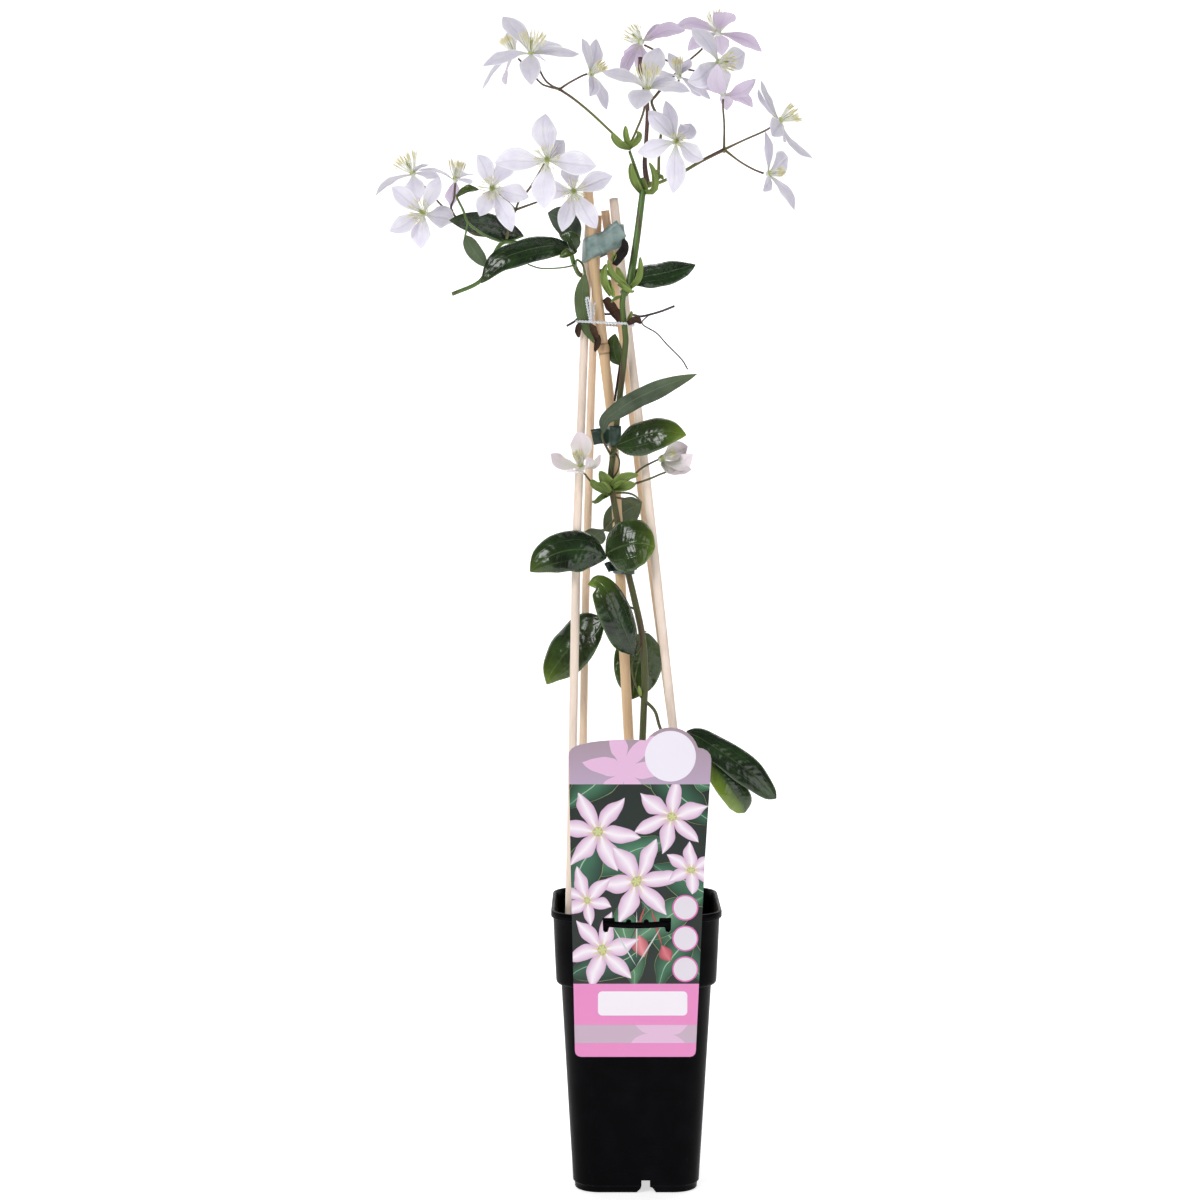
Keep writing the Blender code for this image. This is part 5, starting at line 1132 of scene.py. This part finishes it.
# %% [markdown]
# ### Stamens
# A tuft is some forty white threads from one small dome, and a few shorter yellow-green ones in the
# middle. Each thread starts on a ring, leans out by its share of the spread and ends in a thicker
# pollen sac. The threads' directions follow the golden angle, so they fill the cone evenly.

# %% Stamen surface
GOLDEN_ANGLE = 2.399963
THREAD = [0.19, 0.17, 0.17, 0.17, 0.17, 0.3, 0.34, 0.3, 0.12]
INNER_THREAD = [0.24, 0.2, 0.2, 0.16]


def stamens(centre, axis, reach, spread, count, inner, seed):
    """Threads c + axis h + out w, in a cone: thread k leans spread (0.3 + 0.7 sqrt(k / count)).

    It stands at k golden angles round the axis.
    """
    local = np.random.default_rng(seed)
    side = unit(np.cross(axis, [0.31, 0.2, 0.93]))
    other = np.cross(axis, side)
    made = []
    for k in range(count + inner):
        short = k >= count
        share = (k - count + 0.5) / inner if short else (k + 0.6) / count
        turn = k * GOLDEN_ANGLE + local.uniform(-0.25, 0.25)
        wide = spread * (0.3 * share if short else 0.3 + 0.7 * math.sqrt(share))
        lean = math.radians(wide * local.uniform(0.85, 1.12))
        out = side * math.cos(turn) + other * math.sin(turn)
        far = reach * (local.uniform(0.45, 0.6) if short else local.uniform(0.78, 1.0))
        start = centre + axis * 1.5 + out * (0.4 if short else 0.8 + 1.1 * share)
        end = centre + axis * (2.2 + far * math.cos(lean)) + out * far * math.sin(lean)
        elbow = (start + end) / 2 - axis * far * 0.03 + out * far * local.uniform(-0.02, 0.07)
        made.append(tube([start, elbow, end], INNER_THREAD if short else THREAD, 5, 9,
                         0.9 if short else 0.0))
    return made + [knuckle(centre + axis * 1.2, 2.1, 0.9)]


# %% [markdown]
# ### Blooms
# Each petal's course leaves the middle, arches by its share of the length and ends at its tip. Its
# face leans a little to the front or to the back, so that it isn't seen edge on. Small chance
# differences in sway, cup and curl keep the petals from looking alike.

# %% Make the blooms
PINK_BACKED, PINK, PALE = (4, 7, 9, 10, 18), 0.8, 0.15
PETAL_TURN, THREADS, INNER_THREADS = 0.35, 42, 12
for number, (middle, facing, reach, spread, petals) in enumerate(BLOOMS, 1):
    centre, axis = np.array(middle, float), unit(np.array(facing, float))
    shapes, pinkness = [], PINK if number in PINK_BACKED else PALE
    turned = unit(axis + [0, PETAL_TURN if axis[1] > 0 else -PETAL_TURN, 0])
    for k, (dx, dy, dz, width, arch) in enumerate(petals):
        away = np.array([dx, dy, dz], float)
        far = np.linalg.norm(away)
        lift = unit(axis - away / far * axis.dot(away / far))
        flat = unit(away - axis * axis.dot(away))
        seed = 100 * number + k
        local = np.random.default_rng(seed)
        sway = np.cross(lift, away / far) * far * local.uniform(-0.05, 0.05)
        course = [centre + flat * 0.8, centre + away * 0.3 + lift * far * arch * 0.8,
                  centre + away * 0.65 + lift * far * arch * 0.9 + sway, centre + away]
        shapes.append(blade(course, turned, 0.95 * width, PETAL, rows=26, columns=17, thick=0.35,
                            fold=-0.03, cup=local.uniform(-0.15, 0.2), ruffle=0.03 * width,
                            curl=local.uniform(-0.06, 0.12), channels=0.75, seed=seed,
                            tone=pinkness + local.uniform(-0.15, 0.2)))
    hub = knuckle(centre - axis * 0.2, 1.9)
    # the hub sits in the middle of a petal's width, so the painted rim highlight leaves it out
    hub[3][:, 1] = 0.5  # in the middle of a petal's width, so it has no rim
    make_object(f"bloom_petals_{number:02d}", shapes + [hub], petal_look, [f"petals_{number:02d}"])
    tuft = stamens(centre, axis, reach, spread, THREADS, INNER_THREADS, number)
    make_object(f"bloom_stamens_{number:02d}", tuft, stamen_look, [f"stamens_{number:02d}"])

# %% [markdown]
# ## The card label
# The card keeps its solid: a flat coated board whose outline is already right. Its printed face gets
# a plain floral pattern with no lettering: dark leaves, pale pink flowers and rose buds, a mauve head
# with a pale disc, a column of ringed discs, and pink bands at the foot. One printed shape makes
# most of it: a blade from a base, with half-width W sin(pi x / L) at x along it. A flower is that
# blade with the angle folded into one sixth of a turn.

# %% Printed shapes
def shape_group(name):
    """A node group from a place, a base, a turn, a length and a width to a mask and two shares."""
    group = bpy.data.node_groups.new(name, "ShaderNodeTree")
    for socket, kind in (("Place", "Vector"), ("Base", "Vector"), ("Turn", "Float"), ("Length", "Float"),
                         ("Width", "Float")):
        group.interface.new_socket(socket, in_out="INPUT", socket_type="NodeSocket" + kind)
    for socket in ("Inside", "Across", "Along"):
        group.interface.new_socket(socket, in_out="OUTPUT", socket_type="NodeSocketFloat")
    given, result = group.nodes.new("NodeGroupInput"), group.nodes.new("NodeGroupOutput")
    given = given.outputs
    apart = add(group, "VectorMath", {0: given["Place"], 1: given["Base"]}, operation="SUBTRACT")
    return group, apart, given, result


def blade_shape(tree, along, aside, given, result):
    """Inside where |aside| < W sin(pi x / L), across = |aside| over that, and along = x / L."""
    share = add(tree, "Math", {0: along, 1: given["Length"]}, operation="DIVIDE", use_clamp=True)
    half_turn = add(tree, "Math", {0: share, 1: math.pi}, operation="MULTIPLY")
    bulge = add(tree, "Math", {0: half_turn}, operation="SINE")
    edge = add(tree, "Math", {0: bulge, 1: given["Width"]}, operation="MULTIPLY")
    size = add(tree, "Math", {0: aside}, operation="ABSOLUTE")
    inside = add(tree, "Math", {0: size, 1: edge}, operation="LESS_THAN")
    across = add(tree, "Math", {0: size, 1: edge}, operation="DIVIDE")
    fill(result, {0: inside, 1: across, 2: share})


printed_blade, apart, given, result = shape_group("printed_blade")
tree = printed_blade
turned = add(tree, "VectorRotate", {"Vector": apart, "Angle": given["Turn"]}, rotation_type="Z_AXIS")
split = add(tree, "SeparateXYZ", {0: turned}).outputs
blade_shape(tree, split[0], split[1], given, result)

PETALS_EACH = 6
printed_flower, apart, given, result = shape_group("printed_flower")
tree = printed_flower
split = add(tree, "SeparateXYZ", {0: apart}).outputs
angle = add(tree, "Math", {0: split[1], 1: split[0]}, operation="ARCTAN2")
turned = add(tree, "Math", {0: angle, 1: given["Turn"]}, operation="ADD")
parts = add(tree, "Math", {0: turned, 1: PETALS_EACH / (2 * math.pi)}, operation="MULTIPLY")
share = add(tree, "Math", {0: parts}, operation="FRACT")
from_axis = add(tree, "Math", {0: share, 1: 0.5}, operation="SUBTRACT")
folded = add(tree, "Math", {0: from_axis, 1: 2 * math.pi / PETALS_EACH}, operation="MULTIPLY")
away = add(tree, "VectorMath", {0: apart}, operation="LENGTH").outputs["Value"]
cosine = add(tree, "Math", {0: folded}, operation="COSINE")
sine = add(tree, "Math", {0: folded}, operation="SINE")
along = add(tree, "Math", {0: away, 1: cosine}, operation="MULTIPLY")
aside = add(tree, "Math", {0: away, 1: sine}, operation="MULTIPLY")
blade_shape(tree, along, aside, given, result)

# %% [markdown]
# The board is coated card with a soft gloss. Every mark lies over those before it: each leaf is a rim,
# a body and a rib, and each flower is its petals, two stars of threads and a small eye. A noise
# bends the places a little, so that no edge is straight but those of the three cut lines.

# %% Card material
# base x, base z, turn in degrees, length, half width in mm; dark and light colour
PRINTED_LEAVES = [
    (-48, 272, 48, 66, 12, "#14382A", "#3F7556"), (-10, 300, 150, 60, 11, "#123022", "#35694C"),
    (52, 288, 165, 66, 12, "#1B4633", "#4E8664"), (54, 262, 140, 66, 12, "#0F2C20", "#2F6046"),
    (-50, 232, 15, 78, 13, "#1D4A35", "#4A8061"), (12, 236, -30, 58, 13, "#16402D", "#3B7254"),
    (-48, 205, 68, 58, 12, "#12352A", "#3A6E54"), (48, 152, 128, 74, 12, "#173E2E", "#3C7056"),
    (-2, 150, 98, 60, 13, "#1E4D34", "#588A63"), (-48, 158, 18, 60, 12, "#0F2C22", "#2D5A44"),
    (44, 214, 215, 62, 11, "#21523B", "#5F9070"), (14, 148, 62, 50, 10, "#143A2A", "#3D7355")]
PRINTED_FLOWERS = [(-27, 258, 25, 30, 6.0), (23, 268, 50, 27, 5.4), (1, 224, 38, 31, 6.2),
                   (-36, 212, 10, 21, 4.6), (37, 233, 0, 18, 4.2), (-24, 176, 44, 27, 5.6)]
PRINTED_BUDS = [(2, 186, -80, 16, 5.5, "#A64E56", "#E58E94"), (17, 178, -60, 14, 4.8, "#9E3F4E", "#D9737F"),
                (6, 207, -108, 24, 0.8, "#8E3B3B", "#B85A55"),
                (10, 205, -75, 29, 0.8, "#8E3B3B", "#B85A55")]
# heights of the head and the bands, the panel, the discs and the head's round lobe, in metres
HEAD_FROM, BAND_TOP, BAND_LOW, FOOT_TOP = 0.2915, 0.1523, 0.1234, 0.1107
PANEL_MIDDLE, PANEL_HALF, PANEL_CORNER = (0.004, 0.1385, 0), (0.028, 0.0055, 0), 0.003
DISCS_AT, LOBE_AT = [(0.0335, z, 0) for z in (0.2055, 0.184, 0.1625)], (0.023, 0.311, 0)
CUT_LINES = [(-0.4, 164.5, 120.5, 33.2, 0.5), (-0.4, 164.5, 58.0, 33.2, 0.5), (-0.2, 170, 90, 33.5, 0.5)]
LEAF_RIM, LEAF_RIB, RIB_HALF = "#8A9A64", "#9CBDA4", 0.35
PRINTED_PETAL, PRINTED_EYE = ("#D4ABCD", "#F8F0F8"), ("#8E9A50", "#D8D79A")
PRINTED_THREAD, CUT_LINE = (0.42, "#B99B5A", "#F3E9C4"), ("#C9D2D0", "#C9D2D0")

card_look, tree, shader = new_material("printed_board")
where = add(tree, "TexCoord").outputs["Object"]
x_at, _, z_at = add(tree, "SeparateXYZ", {0: where}).outputs
flat_at = add(tree, "CombineXYZ", {0: x_at, 1: z_at})
bend = add(tree, "TexNoise", {"Vector": flat_at, "Scale": 35.0})  # 29 mm
shifted = add(tree, "VectorMath", {0: bend.outputs["Color"], 1: (0.5, 0.5, 0.5)}, operation="SUBTRACT")
bent_at = add(tree, "VectorMath", {0: shifted, 1: (0.011, 0.011, 0.0), 2: flat_at},
              operation="MULTIPLY_ADD")
ground = add(tree, "Mix", {0: bend, 6: "#0A1512", 7: "#16291F"})

# shape, place, base x and z, turn, length, half width, edge and middle colour
printed = []
for *shape, width, dark, light in PRINTED_LEAVES:
    coats = ((width + RIB_HALF, LEAF_RIM, LEAF_RIM), (width, dark, light),
             (RIB_HALF, LEAF_RIB, LEAF_RIB))
    printed += [(printed_blade, bent_at, *shape, *coat) for coat in coats]
printed += [(printed_blade, bent_at, *bud) for bud in PRINTED_BUDS]
for x, z, turn, length, width in PRINTED_FLOWERS:
    printed.append((printed_flower, bent_at, x, z, turn, length, width, *PRINTED_PETAL))
    for extra in (15, 45):
        printed.append((printed_flower, bent_at, x, z, turn + extra, length * 0.3, *PRINTED_THREAD))
    printed.append((printed_flower, bent_at, x, z, turn, length * 0.13, length * 0.06, *PRINTED_EYE))
printed += [(printed_blade, flat_at, *line, *CUT_LINE) for line in CUT_LINES]
head_marks = [(printed_flower, bent_at, -8, 303, 20, 30, 6.0, "#E6BBDD", "#E6BBDD")]
band_marks = [(printed_flower, bent_at, 16, 116, 0, 26, 5.4, "#E2BCDA", "#E2BCDA")]
head_tone = add(tree, "MapRange", {"Value": z_at, "From Min": HEAD_FROM, "From Max": 0.325})
head_base = add(tree, "Mix", {0: head_tone, 6: "#B9A3BE", 7: "#A8939F"})
looks = []
for look, marks in ((ground, printed), (head_base, head_marks), ("#C8AFC2", band_marks)):
    for shape, place, x, z, turn, length, width, edge, middle in marks:
        mark = add(tree, "Group", node_tree=shape)
        fill(mark, {"Place": place, "Base": (x * MM, z * MM, 0), "Turn": -math.radians(turn),
                    "Length": length * MM, "Width": width * MM})
        tone = add(tree, "Mix", {0: mark.outputs["Across"], 6: middle, 7: edge})
        look = add(tree, "Mix", {0: mark, 6: look, 7: tone})
    looks.append(look)
layers, head_look, band_look = looks

# %% [markdown]
# Over that lie the head, the bands, the panel and the discs. Each is a mask in the card's height or in
# the distance to a point, and the rounded panel is the distance to a smaller box. The back is plain.

# %% Card head, foot and back
offset = add(tree, "VectorMath", {0: flat_at, 1: PANEL_MIDDLE}, operation="SUBTRACT")
mirrored = add(tree, "VectorMath", {0: offset}, operation="ABSOLUTE")
beyond = add(tree, "VectorMath", {0: mirrored, 1: PANEL_HALF}, operation="SUBTRACT")
outside = add(tree, "VectorMath", {0: beyond, 1: (0, 0, 0)}, operation="MAXIMUM")
corner = add(tree, "VectorMath", {0: outside}, operation="LENGTH").outputs["Value"]
facing = add(tree, "SeparateXYZ", {0: add(tree, "NewGeometry").outputs["True Normal"]}).outputs[1]
tests = [(z_at, "GREATER_THAN", HEAD_FROM, head_look), (z_at, "LESS_THAN", BAND_TOP, "#E88CC6"),
         (z_at, "LESS_THAN", BAND_LOW, band_look), (z_at, "LESS_THAN", FOOT_TOP, "#E88CC6"),
         (corner, "LESS_THAN", PANEL_CORNER, "#F4EDF6")]
discs = [(size, colour, place) for size, colour in ((0.009, "#D96DB4"), (0.008, "#E3DCE6"))
         for place in DISCS_AT]
for size, colour, place in discs + [(0.0176, "#F1EBF7", LOBE_AT)]:
    away = add(tree, "VectorMath", {0: flat_at, 1: place}, operation="DISTANCE").outputs["Value"]
    tests.append((away, "LESS_THAN", size, colour))
for measured, test, limit, colour in tests + [(facing, "GREATER_THAN", -0.5, "#F2EFF3")]:
    mask = add(tree, "Math", {0: measured, 1: limit}, operation=test)
    layers = add(tree, "Mix", {0: mask, 6: layers, 7: colour})
gloss_noise = add(tree, "TexNoise", {"Vector": where, "Scale": 300.0})  # 3 mm
gloss = add(tree, "MapRange", {"Value": gloss_noise, "To Min": 0.25, "To Max": 0.4})
fill(shader, {"Base Color": layers, "Roughness": gloss})
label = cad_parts["label"]
label.data.materials.clear()
label.data.materials.append(card_look)
print("card finished, shapes printed on it:", len(printed) + len(head_marks) + len(band_marks))
